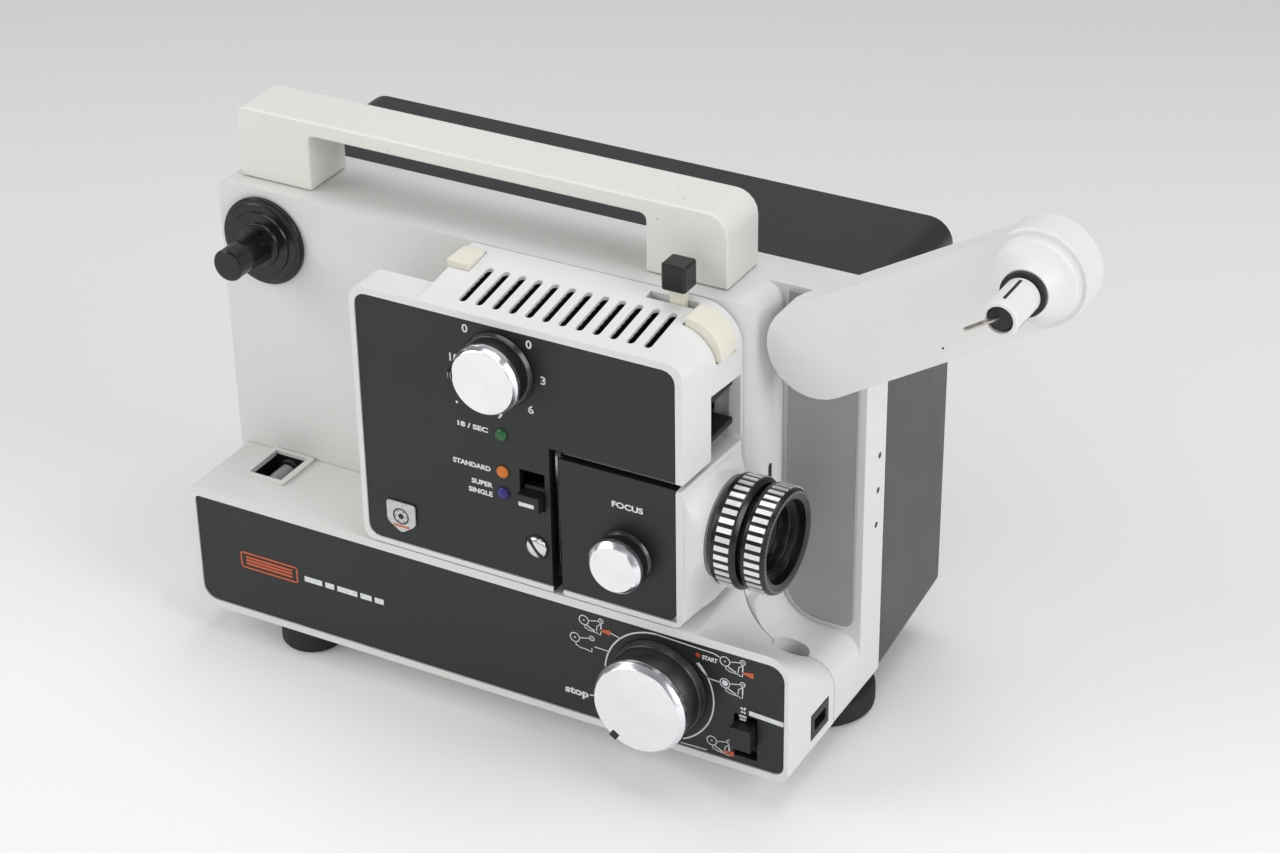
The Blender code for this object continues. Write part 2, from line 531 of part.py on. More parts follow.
def build_door(make):
    def section(y):
        share = y / COVER_BACK
        right = COVER_FRONT_RIGHT + (COVER_BACK_RIGHT - COVER_FRONT_RIGHT) * share
        top = DOOR_FRONT_TOP + (DOOR_BACK_TOP - DOOR_FRONT_TOP) * share
        return rounded([(DOOR_LEFT, COVER_BOTTOM, 2), (right, COVER_BOTTOM, 4), (right, top, 1.0),
                        (DOOR_LEFT, DOOR_FRONT_TOP)], 4)

    door = make.loft("lens_door", "Y", [(0.0, section(0.0)), (COVER_BACK, section(COVER_BACK))], "white",
                     (*HINGE, 83))
    cut(door,
        make.box("door_hollow", (DOOR_LEFT - 3, 210.8), (4.4, 41), (COVER_BOTTOM + 2.4, DOOR_FRONT_TOP - 2.4)))
    carrier = make.turned("lens_carrier", "X", (LENS_Y, LENS_Z),
                          [(0, 186), (17.6, 186), (17.6, 213), (0, 213)], None, 32)
    boss = make.turned("lens_boss", "X", (LENS_Y, LENS_Z),
                       [(0, 212), (BOSS_R, 212), (BOSS_R, BOSS_END - 1), (BOSS_R - 1, BOSS_END),
                        (0, BOSS_END)], None, 40)
    fuse(door, carrier, make.box("carrier_rib", (186, 212), (3.5, 12), (60, 100)), boss)
    back_corner = rounded([(HINGE[0], 38.6), (HINGE[0] + 1.5, 38.0, 1.5), (HINGE[0] + 1.5, HINGE[1]),
                           (HINGE[0] + 6, HINGE[1]), (HINGE[0] + 6, 42), (HINGE[0], 42)], 4)
    cut(door,
        make.disc("lens_bore", "X", (LENS_Y, LENS_Z), BARREL_R + CLEAR, 160, 225, None, 32),
        make.prism("door_panel_pocket", "Y",
                   rectangle(DOOR_LEFT - 5, PANEL_RIGHT + CLEAR, PANEL_BOTTOM - CLEAR, DOOR_FRONT_TOP + 5), -2,
                   PANEL_FACE + PANEL_THICK + CLEAR),
        make.disc("focus_shaft_hole", "Y", FOCUS, 3.4, -2, 12),
        make.prism("hinge_rounding", "Z", back_corner, 40, 130))
    panel = make.prism("lens_door_panel", "Y",
                       rounded([(DOOR_LEFT, PANEL_BOTTOM), (PANEL_RIGHT, PANEL_BOTTOM, 3.5),
                                (PANEL_RIGHT, DOOR_FRONT_TOP), (DOOR_LEFT, DOOR_FRONT_TOP)], 4),
                       PANEL_FACE, PANEL_FACE + PANEL_THICK, "dark", (*HINGE, 83))
    cut(panel, make.disc("focus_hole", "Y", FOCUS, 3.4, -2, 4))


def build_lens(make):
    axis = (LENS_Y, LENS_Z)
    barrel = [(BARREL_BORE, 168), (BARREL_R, 168), (BARREL_R, 239.5), (BARREL_BORE, 239.5)]
    make.turned("lens_barrel", "X", axis, barrel, "black", 32)
    make.turned("lens_rear_ring", "X", axis,
                [(15.2, 223.4), (20.0, 223.4), (REAR_RING_R, 224.0), (REAR_RING_R, 232.8), (19.2, 233.8),
                 (15.2, 233.8)], "black", 40)
    make.turned("zoom_ring", "X", axis,
                [(15.2, 234.8), (19.4, 234.8), (ZOOM_R, 235.4), (ZOOM_R, 242.4), (18.7, 244.8), (17.4, 244.8),
                 (15.3, 239.8)], "black", 40)
    make.turned("lens_front_glass", "X", axis,
                [(0, 232.0), (11.9, 232.0), (11.9, 235.0), (6.2, 236.2), (0, 236.6)], "glass", 24)


# ---- reel spindles and feed arm --------------------------------------------------------------------------

def build_spindles(make):
    spindle = make.turned("take_up_spindle", "Y", TAKE_UP,
                          [(0, 13.5), (5.4, 13.5), (6.2, 14.4), (6.2, 22.0), (5.0, 23.0), (5.0, 32.6),
                           (9.0, 33.2), (9.0, 34.6), (15.6, 35.0), (17.5, 35.8), (17.5, 37.9), (3.2, 37.9), (3.2, 58.0),
                           (0, 58.0)], "black", 32)
    for k in range(3):
        angle = math.radians(90 + 120 * k)
        bar = [(TAKE_UP[0] + r * math.cos(angle) - s * math.sin(angle),
                TAKE_UP[1] + r * math.sin(angle) + s * math.cos(angle))
               for r, s in ((3.0, -0.9), (6.9, -0.9), (6.9, 0.9), (3.0, 0.9))]
        fuse(spindle, make.prism(f"take_up_fin_{k}", "Y", bar, 23.5, 34.0))

    tilt = math.atan2(ARM_TIP[1] - ARM_HUB[1], ARM_TIP[0] - ARM_HUB[0])
    outline = []
    for centre, radius, start in ((ARM_TIP, 17.0, tilt - math.pi / 2), (ARM_HUB, 18.0, tilt + math.pi / 2)):
        outline += [(centre[0] + radius * math.cos(start + math.pi * k / 14),
                     centre[1] + radius * math.sin(start + math.pi * k / 14)) for k in range(15)]
    arm = make.prism("feed_arm", "Y", outline, ARM_FRONT, ARM_BACK, "white", (ARM_HUB[0], 47, ARM_HUB[1]))
    fuse(arm, make.turned("arm_end_housing", "Y", ARM_TIP,
                          [(0, 31.4), (8.2, 31.4), (11.5, 36.5), (14.4, 38.6), (14.4, 41.2), (17.6, 43.6),
                           (17.6, 55.0), (16.6, 56.0), (0, 56.0)], None, 32))
    cut(arm,
        make.disc("arm_pivot_bore", "Y", ARM_HUB, 5.3, 44.1, 60),
        make.disc("feed_shaft_bore", "Y", ARM_TIP, 3.4, 25, 52))

    make.turned("spindle_collar", "Y", ARM_TIP,
                [(3.4, 29.4), (8.0, 29.4), (8.0, 31.1), (3.4, 31.1)], "black", 32)
    spindle = make.turned("feed_spindle", "Y", ARM_TIP,
                          [(0, 12.0), (3.6, 12.0), (3.9, 10.4), (5.6, 10.4), (SPINDLE_R, 11.4),
                           (SPINDLE_R, 29.1), (3.0, 29.1), (3.0, 51.5), (0, 51.5)], "white", 32)
    for k in range(3):
        angle = math.radians(90 + 120 * k)
        bar = [(ARM_TIP[0] + r * math.cos(angle) - s * math.sin(angle),
                ARM_TIP[1] + r * math.sin(angle) + s * math.cos(angle))
               for r, s in ((4.6, -0.7), (8.0, -0.7), (8.0, 0.7), (4.6, 0.7))]
        cut(spindle, make.prism(f"feed_slot_{k}", "Y", bar, 13.0, 26.0))
    cut(spindle, make.prism("key_slot", "Y", rectangle(ARM_TIP[0] - 3.3, ARM_TIP[0] + 3.0, ARM_TIP[1] - 0.8,
                                                      ARM_TIP[1] + 0.8), 5, 17.6))
    lean = math.radians(25.5)
    along, side = (-math.sin(lean), -math.cos(lean)), (math.cos(lean), -math.sin(lean))
    blade = [(ARM_TIP[0] + 0.6 + a * along[0] + s * side[0], 15.6 + a * along[1] + s * side[1])
             for a, s in ((-1.2, -1.0), (17.4, -1.0), (18.2, 0.0), (17.4, 1.0), (-1.2, 1.0))]
    make.prism("spindle_key", "Z", blade, ARM_TIP[1] - 0.4, ARM_TIP[1] + 0.4, "steel",
               (ARM_TIP[0] + 0.6, 15.6, ARM_TIP[1]))


# ---- inside ----------------------------------------------------------------------------------------------

def build_gate(make):
    plate = make.box("mechanism_plate", (113, 214), (SEAM + 3.3, SEAM + 4.8), (20, 156), "steel")
    cut(plate,
        make.box("shutter_slot", (145.5, 157), (35, 50), (53, 130)),
        make.disc("sprocket_hole", "Y", SPROCKET, 3.4, 35, 50))
    gate = make.box("film_gate", (157.8, 159.6), (8, 41.3), (60, 110.5), "steel")
    cut(gate, make.prism("gate_aperture", "X",
                         rectangle(LENS_Y - 2.9, LENS_Y + 2.9, LENS_Z - 2.2, LENS_Z + 2.2), 150, 170))
    plate = make.box("pressure_plate", (160.2, 161.8), (11, 27), (68, 106), "steel", (161, 19, 88))
    cut(plate, make.prism("pressure_aperture", "X",
                          rectangle(LENS_Y - 3.4, LENS_Y + 3.4, LENS_Z - 2.8, LENS_Z + 2.8), 150, 170))
    make.box("film_claw", (152.5, 156.0), (22, 46), (80, 84), "steel", (154, 34, 82))
    make.turned("drive_sprocket", "Y", SPROCKET,
                [(0, 20), (7.4, 20), (7.4, 22), (6.0, 22.5), (6.0, 29.5), (7.4, 30), (7.4, 32), (3.0, 32),
                 (3.0, 58), (0, 58)], "steel", 20)
    chute = make.prism("film_chute", "Y", rounded([(198, 114), (214, 118.5), (214, 121), (203, 121), (203, 134),
                                                   (214, 134), (214, 137), (198, 137)], 2), 20, 36.5, "black")
    cut(chute, make.box("chute_throat", (190, 206), (22, 34), (122.5, 132.5)))


def build_lamp(make):
    axis = (LENS_Y, LENS_Z)
    make.turned("lamp_reflector", "X", axis,
                [(3.0, 118.0), (5.0, 118.0), (9.5, 122.0), (12.4, 128.0), (13.4, 134.0), (12.4, 134.0),
                 (11.4, 128.4), (8.6, 123.2), (3.0, 119.4)], "silver", 24)
    make.turned("lamp_bulb", "X", axis,
                [(0, 116.3), (2.5, 116.3), (2.5, 124), (3.6, 126), (3.6, 129), (0, 132)], "glass", 16)
    make.box("lamp_socket", (112.6, 116.0), (9, 29), (78, 98), "cream")


def build_drive(make):
    shaft = (SHAFT_Y, SHAFT_Z)
    make.turned("drive_shaft", "X", shaft, [(0, 94), (2.5, 94), (2.5, 152), (0, 152)], "steel", 16)
    shutter = make.turned("shutter", "X", shaft, [(2.8, 147.2), (36.5, 147.2), (36.5, 148.2), (2.8, 148.2)],
                          "black", 32)
    cut(shutter,
        make.box("shutter_window", (140, 155), (40, 62), (SHAFT_Z + 14, SHAFT_Z + 60)),
        make.box("shutter_window_low", (140, 155), (40, 62), (SHAFT_Z - 60, SHAFT_Z - 14)))
    make.turned("drive_wheel", "X", shaft, [(2.8, 98), (WHEEL_R, 98), (WHEEL_R, 103), (2.8, 103)], "rubber", 24)
    motor = (MOTOR_Y, SHAFT_Z)
    make.turned("motor", "X", motor, [(1.9, 46), (21.5, 46), (21.5, 90), (1.9, 90)], "steel", 24)
    make.turned("motor_shaft", "X", motor,
                [(0, 24), (1.6, 24), (1.6, 95), (ROLLER_R, 95), (ROLLER_R, 106), (0, 106)], "steel", 16)
    fan = make.turned("cooling_fan", "X", motor, [(1.9, 27), (6, 27), (6, 41), (1.9, 41)], "black", 24)
    for k in range(6):
        angle = math.radians(60 * k)
        blade = [(motor[0] + r * math.cos(angle) - s * math.sin(angle),
                  motor[1] + r * math.sin(angle) + s * math.cos(angle))
                 for r, s in ((5.5, -0.8), (20, -0.8), (20, 0.8), (5.5, 0.8))]
        fuse(fan, make.prism(f"fan_blade_{k}", "X", blade, 28, 40))
    transformer = make.box("transformer", (150, 206), (84, 120), (16, 62), "steel")
    fuse(transformer, make.prism("transformer_coil", "Z", rectangle(160, 196, 80.3, 123.7, 5, 3), 27, 51))


def main():
    for item in list(bpy.data.objects):
        bpy.data.objects.remove(item, do_unlink=True)
    datum = bpy.data.objects.new("datum", None)
    datum.location = tuple(value * MM for value in DATUM)
    bpy.context.scene.collection.objects.link(datum)
    make = Builder(datum, make_materials())
    build_base(make)
    build_body(make)
    build_rear(make)
    build_feet(make)
    build_cover(make)
    build_knobs(make)
    build_door(make)
    build_lens(make)
    build_spindles(make)
    build_gate(make)
    build_lamp(make)
    build_drive(make)
    for item in bpy.data.objects:
        if item.type == "MESH":
            item.data.shade_smooth()
            item.data.set_sharp_from_angle(angle=math.radians(35))


main()
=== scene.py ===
"""Looks of the film projector: materials, fine geometry, printed legends, studio and camera.

Lengths are millimetres from the front lower left corner of the base housing, as in the CAD, and spot() turns
them into the frame's metres. X runs along the lens axis, Y away from the operator and Z up.
"""

import math

import bmesh
import bpy
from mathutils import Matrix, Vector


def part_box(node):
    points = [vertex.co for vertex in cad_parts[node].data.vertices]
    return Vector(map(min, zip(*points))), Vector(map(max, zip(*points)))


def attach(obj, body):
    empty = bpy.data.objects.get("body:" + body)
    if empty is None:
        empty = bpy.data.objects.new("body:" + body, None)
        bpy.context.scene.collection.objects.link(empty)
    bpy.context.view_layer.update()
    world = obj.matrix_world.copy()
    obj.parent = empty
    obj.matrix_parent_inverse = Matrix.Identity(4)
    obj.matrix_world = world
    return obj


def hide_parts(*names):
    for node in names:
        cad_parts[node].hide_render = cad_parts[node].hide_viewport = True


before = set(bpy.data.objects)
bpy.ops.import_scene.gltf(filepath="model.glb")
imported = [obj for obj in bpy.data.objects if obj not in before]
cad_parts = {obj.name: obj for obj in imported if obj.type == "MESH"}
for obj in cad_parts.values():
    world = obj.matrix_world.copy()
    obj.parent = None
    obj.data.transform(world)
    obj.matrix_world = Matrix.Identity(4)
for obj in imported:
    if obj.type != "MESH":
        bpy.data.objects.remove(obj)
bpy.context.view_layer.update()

MM = 0.001
LIFT = 0.04  # printed marks stand this far in front of their panel

PANEL_INSET = 3.0  # from the base's left side to its dark fascia
PANEL_FACE = 0.4  # the dark fascias' front faces

panel_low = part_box("base_panel")[0]
BASE_CORNER = Vector((panel_low.x - PANEL_INSET * MM, panel_low.y - PANEL_FACE * MM,
                      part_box("base_shell")[0].z))


def spot(x, y, z):
    """The frame's place, in metres, of a point in millimetres from the base corner."""
    return BASE_CORNER + Vector((x, y, z)) * MM


def middle(node):
    """Centre of a CAD node's box, in millimetres from the base corner."""
    low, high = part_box(node)
    return ((low + high) / 2 - BASE_CORNER) / MM


SPEED = middle("speed_knob_cap").x, middle("speed_knob").z
MODE = middle("mode_knob").x, middle("mode_knob").z
FOCUS = middle("focus_knob").x, middle("focus_knob").z
LENS = middle("zoom_ring").y, middle("zoom_ring").z
TAKE_UP = middle("take_up_spindle").x, middle("take_up_spindle").z
ARM_TIP = middle("feed_spindle").x, middle("feed_spindle").z
TILT = middle("tilt_wheel").x, middle("tilt_wheel").y


# ---- materials -------------------------------------------------------------------------------------------

def linear(red, green, blue):
    """Linear colour from display values of 0 to 255."""
    return tuple(((c / 255 + 0.055) / 1.055) ** 2.4 if c > 10 else c / 255 / 12.92
                 for c in (red, green, blue))


class Nodes:
    """A new material and short ways to add and link its nodes."""

    def __init__(self, name):
        self.material = bpy.data.materials.new(name)
        self.material.use_nodes = True
        self.tree = self.material.node_tree
        self.shader = self.tree.nodes["Principled BSDF"]
        self.coordinates = self.tree.nodes.new("ShaderNodeTexCoord").outputs["Object"]

    def add(self, kind, inputs=None, **settings):
        node = self.tree.nodes.new(kind)
        for key, value in settings.items():
            setattr(node, key, value)
        for key, value in (inputs or {}).items():
            if isinstance(value, bpy.types.NodeSocket):
                self.tree.links.new(value, node.inputs[key])
            else:
                node.inputs[key].default_value = value
        return node

    def noise(self, scale, detail=3.0, roughness=0.5, vector=None):
        return self.add("ShaderNodeTexNoise", {"Vector": vector or self.coordinates, "Scale": scale,
                                               "Detail": detail, "Roughness": roughness}).outputs["Fac"]

    def ramp(self, value, low, high, low_value=0.0, high_value=1.0):
        node = self.add("ShaderNodeMapRange", {"Value": value, "From Min": low, "From Max": high,
                                               "To Min": low_value, "To Max": high_value})
        return node.outputs["Result"]

    def mix(self, factor, first, second):
        node = self.add("ShaderNodeMix", data_type="RGBA")
        for index, value in ((0, factor), (6, first), (7, second)):
            if isinstance(value, bpy.types.NodeSocket):
                self.tree.links.new(value, node.inputs[index])
            else:
                node.inputs[index].default_value = (*value, 1.0) if index else value
        return node.outputs[2]

    def math(self, operation, first, second):
        return self.add("ShaderNodeMath", {0: first, 1: second}, operation=operation).outputs[0]

    def inside(self, low, high):
        """1 where the surface lies between two corners given in millimetres, else 0."""
        first, last = spot(*low), spot(*high)
        parts = self.add("ShaderNodeSeparateXYZ", {"Vector": self.coordinates}).outputs
        result = None
        for part, a, b in zip(parts, first, last):
            hit = self.add("ShaderNodeMath", {0: part, 1: (a + b) / 2, 2: (b - a) / 2},
                           operation="COMPARE").outputs[0]
            result = self.math("MULTIPLY", result, hit) if result else hit
        return result

    def bump(self, height, strength, distance):
        node = self.add("ShaderNodeBump", {"Height": height, "Strength": strength, "Distance": distance})
        self.tree.links.new(node.outputs["Normal"], self.shader.inputs["Normal"])

    def set(self, **values):
        for key, value in values.items():
            socket = self.shader.inputs[key.replace("_", " ")]
            if isinstance(value, bpy.types.NodeSocket):
                self.tree.links.new(value, socket)
            elif isinstance(value, tuple) and len(value) == 3:
                socket.default_value = (*value, 1.0)
            else:
                socket.default_value = value


def moulded(name, colour, roughness=0.42, grain=0.05, soil=0.12, soil_colour=(0.30, 0.28, 0.24),
            shade_boxes=(), specular=0.45):
    """Moulded plastic: fine matt grain, slow colour drift, and a little soiling in irregular patches.

    The boxes given, as corners in millimetres, are painted black inside: painted shade of gaps, slots and
    seams."""
    nodes = Nodes(name)
    fine = nodes.noise(2600.0, 2.0)
    slow = nodes.noise(11.0, 3.0)
    patches = nodes.noise(38.0, 8.0, 0.68)
    specks = nodes.noise(420.0, 4.0, 0.6)
    tint = nodes.mix(nodes.ramp(slow, 0.3, 0.7), tuple(c * 0.965 for c in colour), colour)
    dirt = nodes.math("MULTIPLY", nodes.ramp(patches, 0.60, 0.82, 0.0, soil), nodes.ramp(specks, 0.35, 0.75))
    surface = nodes.mix(dirt, tint, soil_colour)
    # painted shade: inside each box the surface turns black, standing in for the shade in a gap, slot or
    # seam
    for low, high in shade_boxes:
        surface = nodes.mix(nodes.inside(low, high), surface, PAINTED_GAP_SHADE)
    nodes.set(Base_Color=surface, Specular_IOR_Level=specular,
              Roughness=nodes.ramp(patches, 0.3, 0.7, roughness - 0.05, roughness + 0.07))
    nodes.bump(fine, 0.35, grain * MM)
    return nodes.material


def scuffed(name, colour, mark_colour, roughness=0.4):
    """Moulded plastic whose surface carries dark rubbed nicks as well as its grain."""
    nodes = Nodes(name)
    stretched = nodes.add("ShaderNodeMapping", {"Vector": nodes.coordinates, "Scale": (0.35, 1.0, 1.0)})
    nicks = nodes.noise(260.0, 7.0, 0.72, stretched.outputs["Vector"])
    gate = nodes.noise(17.0, 2.0)
    slow = nodes.noise(9.0, 3.0)
    marks = nodes.math("MULTIPLY", nodes.ramp(nicks, 0.665, 0.70), nodes.ramp(gate, 0.53, 0.60, 0.0, 0.75))
    tint = nodes.mix(nodes.ramp(slow, 0.3, 0.7), tuple(c * 0.96 for c in colour), colour)
    nodes.set(Base_Color=nodes.mix(marks, tint, mark_colour), Roughness=roughness, Specular_IOR_Level=0.45)
    nodes.bump(nodes.noise(2400.0, 2.0), 0.3, 0.05 * MM)
    return nodes.material


def spun_metal(name, centre, tone=0.93, roughness=0.3):
    """Aluminium turned about an axis along Y through (x, z), whose fine grooves spread light radially."""
    nodes = Nodes(name)
    shift = nodes.add("ShaderNodeVectorMath", {0: nodes.coordinates, 1: spot(centre[0], 0, centre[1])},
                      operation="SUBTRACT")
    flat = nodes.add("ShaderNodeVectorMath", {0: shift.outputs["Vector"], 1: (1.0, 0.0, 1.0)},
                     operation="MULTIPLY")
    radius = nodes.add("ShaderNodeVectorMath", {0: flat.outputs["Vector"]}, operation="LENGTH")
    grooves = nodes.add("ShaderNodeTexNoise", {"W": radius.outputs["Value"], "Scale": 5200.0, "Detail": 3.0},
                        noise_dimensions="1D").outputs["Fac"]
    haze = nodes.noise(90.0, 4.0)
    nodes.set(Base_Color=nodes.mix(nodes.ramp(haze, 0.35, 0.7), (tone, tone, tone), (tone * 0.96,) * 3),
              Metallic=1.0, Roughness=nodes.ramp(haze, 0.3, 0.75, roughness, roughness + 0.08),
              Anisotropic=0.6)
    tangent = nodes.add("ShaderNodeTangent", direction_type="RADIAL", axis="Y")
    nodes.set(Tangent=tangent.outputs["Tangent"])
    nodes.bump(grooves, 0.3, 0.01 * MM)
    return nodes.material


def metal(name, colour, roughness=0.3, scratch=0.02):
    """Plated or machined metal with fine brushing; scratch is the depth of the brushing."""
    nodes = Nodes(name)
    streaks = nodes.add("ShaderNodeMapping", {"Vector": nodes.coordinates, "Scale": (1.0, 1.0, 12.0)})
    brushed = nodes.noise(900.0, 4.0, 0.6, streaks.outputs["Vector"])
    haze = nodes.noise(120.0, 4.0)
    nodes.set(Base_Color=nodes.mix(nodes.ramp(haze, 0.3, 0.7), colour, tuple(c * 0.88 for c in colour)),
              Metallic=1.0, Roughness=nodes.ramp(brushed, 0.3, 0.7, roughness - 0.06, roughness + 0.08))
    nodes.bump(brushed, 0.3, scratch * MM)
    return nodes.material


def polished(name, colour):
    """Mirror-like turned metal with a slight haze."""
    nodes = Nodes(name)
    haze = nodes.noise(60.0, 3.0)
    nodes.set(Base_Color=nodes.mix(nodes.ramp(haze, 0.3, 0.7), colour, tuple(c * 0.94 for c in colour)),
              Metallic=1.0, Roughness=nodes.ramp(haze, 0.3, 0.7, 0.2, 0.26))
    return nodes.material


def glossy(name, colour, roughness, coat):
    """Smooth coloured plastic or glass under a clear coat."""
    nodes = Nodes(name)
    slow = nodes.noise(150.0, 2.0)
    nodes.set(Base_Color=nodes.mix(nodes.ramp(slow, 0.3, 0.7), colour, tuple(c * 0.9 for c in colour)),
              Roughness=roughness, Coat_Weight=coat, Coat_Roughness=0.05)
    return nodes.material


def printed(name, colour):
    """Screen print: nearly flat, with slightly thin ink here and there."""
    nodes = Nodes(name)
    thin = nodes.noise(700.0, 4.0, 0.6)
    nodes.set(Base_Color=nodes.mix(nodes.ramp(thin, 0.35, 0.7), colour, tuple(c * 0.85 for c in colour)),
              Roughness=0.5)
    return nodes.material


def lens_glass(name):
    """Front element: dark inside, with the strong coloured reflection of a coated surface."""
    nodes = Nodes(name)
    slow = nodes.noise(60.0, 2.0)
    nodes.set(Base_Color=nodes.mix(nodes.ramp(slow, 0.4, 0.6), (0.030, 0.032, 0.034), (0.042, 0.036, 0.034)),
              Roughness=0.06, IOR=2.1, Coat_Weight=1.0, Coat_Roughness=0.03)
    return nodes.material


# colour of the painted shade in the gaps, slots and seams of the white housings
PAINTED_GAP_SHADE = linear(20, 20, 20)
DOOR_LOW, DOOR_HIGH = ((corner - BASE_CORNER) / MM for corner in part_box("lens_door_panel"))
GROOVE_LEFT, GROOVE_TOP = 160.8, 112.2  # edges of the door opening in the cover
EDGE_DEPTH = 4.0  # the painted gap shade on the door's edges reaches this far back
BASE_BACK = 38.0  # where the base housing meets the body shell
COVER_FRONT_TOP, COVER_SLOPE = 158.4, 0.1526  # the cover's top at the front, and its rise towards the back
SLOT_LIP, SLOT_FRONT, SLOT_STEP = 1.3, 5.5, 3.0  # the grille slots' white lip, and the steps along them

# Boxes inside which a white housing is painted black, as painted shade: gaps round the door, the switch and
# lever slots, the grille slots below their lips, and the seam of the base.
COVER_GAP_SHADE = (((GROOVE_LEFT - 0.8, 0.7, 50.0), (GROOVE_LEFT + 0.6, 30.0, GROOVE_TOP + 1.0)),
              ((GROOVE_LEFT - 0.8, 0.7, GROOVE_TOP - 0.6), (212.6, 30.0, GROOVE_TOP + 1.0)),
              ((147.0, 1.8, 83.5), (159.2, 5.0, 103.2)))
DOOR_GAP_SHADE = (((DOOR_LOW.x - 0.4, -0.5, 50.0), (DOOR_LOW.x + 0.5, EDGE_DEPTH, DOOR_HIGH.z + 1.0)),
             ((DOOR_LOW.x - 0.4, -0.5, DOOR_HIGH.z - 0.7), (211.2, EDGE_DEPTH, DOOR_HIGH.z + 1.0)))
LEVER_SLOT_SHADE = (((233.0, 0.7, 5.4), (243.0, 12.5, 24.6)),)
SEAM_SHADE = (((213.0, BASE_BACK - 0.25, 4.0), (262.0, BASE_BACK + 0.6, 70.0)),)
GRILLE_SLOT_SHADE = tuple(((122.0, y, 150.0), (200.0, y + SLOT_STEP,
                                         COVER_FRONT_TOP + COVER_SLOPE * (y + SLOT_STEP / 2) - SLOT_LIP))
                    for y in (SLOT_FRONT + SLOT_STEP * k for k in range(7)))

WHITE = moulded("white_housing", linear(222, 222, 220))
# the base, cover and door whites below carry painted shade, black inside their boxes
WHITE_BASE = moulded("white_base", linear(222, 222, 219), shade_boxes=LEVER_SLOT_SHADE + SEAM_SHADE)
WHITE_COVER = moulded("white_cover", linear(223, 223, 222), shade_boxes=COVER_GAP_SHADE + GRILLE_SLOT_SHADE)
WHITE_DOOR = moulded("white_door", linear(221, 221, 221), shade_boxes=DOOR_GAP_SHADE)
ARM_WHITE = moulded("white_arm", linear(226, 226, 224), 0.34, 0.03, 0.08)
CREAM = scuffed("cream_handle", linear(226, 226, 219), linear(70, 66, 60))
CREAM_PART = moulded("cream_part", linear(226, 223, 208), 0.4)
PANEL = moulded("dark_fascia", linear(28, 30, 32), 0.42, 0.04, 0.2, linear(84, 82, 78))
LOWER_PANEL = moulded("dark_base_fascia", linear(29, 31, 31), 0.42, 0.04, 0.2, linear(84, 82, 78))
REAR = moulded("charcoal_cover", linear(34, 35, 37), 0.34, 0.12, 0.2, linear(84, 82, 80), specular=0.8)
BLACK = moulded("black_plastic", linear(26, 26, 27), 0.4, 0.04, 0.12, linear(70, 68, 66))
BLACK_GLOSS = moulded("black_gloss_plastic", linear(20, 20, 21), 0.24, 0.015, 0.08, linear(60, 58, 56))
SKIRT_GLOSS = moulded("grey_gloss_skirt", linear(40, 40, 40), 0.22, 0.01, 0.08, linear(70, 68, 66),
                      specular=0.7)
RUBBER = moulded("black_rubber", linear(34, 34, 33), 0.75, 0.1, 0.3, linear(80, 78, 74))
LINER = moulded("grey_liner", linear(160, 159, 157), 0.5, 0.06, 0.1)
ROLLER_GREY = moulded("grey_roller", linear(150, 150, 148), 0.35, 0.02, 0.1)
STEEL = metal("plated_steel", (0.56, 0.56, 0.57), 0.3)
SCREW_STEEL = metal("screw_steel", (0.80, 0.80, 0.80), 0.22, 0.01)
SILVER_LAND = metal("bright_knurl", (0.93, 0.93, 0.94), 0.42, 0.004)
POLISHED = polished("polished_aluminium", (0.93, 0.94, 0.96))
COPPER = metal("copper_winding", (0.60, 0.30, 0.15), 0.4)
KEY_STEEL = metal("key_steel", (0.62, 0.58, 0.52), 0.28)
WORN_RIM = scuffed("worn_black_rim", linear(92, 90, 88), linear(190, 188, 184), 0.35)
LENS_GLASS = lens_glass("coated_glass")
BULB_GLASS = glossy("bulb_glass", (0.45, 0.47, 0.50), 0.06, 0.6)
GREEN = glossy("green_indicator", linear(8, 88, 40), 0.35, 0.1)
ORANGE = glossy("orange_indicator", linear(206, 112, 0), 0.35, 0.1)
BLUE = glossy("blue_indicator", linear(36, 22, 116), 0.35, 0.1)
WHITE_INK = printed("white_ink", linear(224, 226, 228))
ORANGE_INK = printed("orange_ink", linear(206, 92, 42))
RED_INK = printed("red_ink", linear(196, 62, 28))
# dark print, also used as painted shade in small holes, the screw slot and the column's slit
DARK_INK_AND_HOLE_SHADE = printed("dark_ink_and_hole_shade", linear(30, 30, 32))
BADGE = printed("badge_plate", linear(200, 202, 200))


# ---- geometry tools --------------------------------------------------------------------------------------

def paint(item, material):
    """Gives a CAD node one material in place of its own."""
    item.data.materials.clear()
    item.data.materials.append(material)


def new_piece(name, points, faces, material, body, smooth=True, sharp=40.0):
    """Mesh piece from points in millimetres, riding on a CAD body."""
    mesh = bpy.data.meshes.new(name)
    mesh.from_pydata([spot(*p) for p in points], [], faces)
    shape = bmesh.new()
    shape.from_mesh(mesh)
    bmesh.ops.remove_doubles(shape, verts=shape.verts, dist=1e-6)
    bmesh.ops.recalc_face_normals(shape, faces=shape.faces)
    shape.to_mesh(mesh)
    shape.free()
    if smooth:
        mesh.shade_smooth()
        mesh.set_sharp_from_angle(angle=math.radians(sharp))
    item = bpy.data.objects.new(name, mesh)
    bpy.context.scene.collection.objects.link(item)
    mesh.materials.append(material)
    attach(item, body)
    return item


def on_axis(axis, along, u, v):
    """Point at a distance along a named axis, with its two cross coordinates in order."""
    return {"X": (along, u, v), "Y": (u, along, v), "Z": (u, v, along)}[axis]


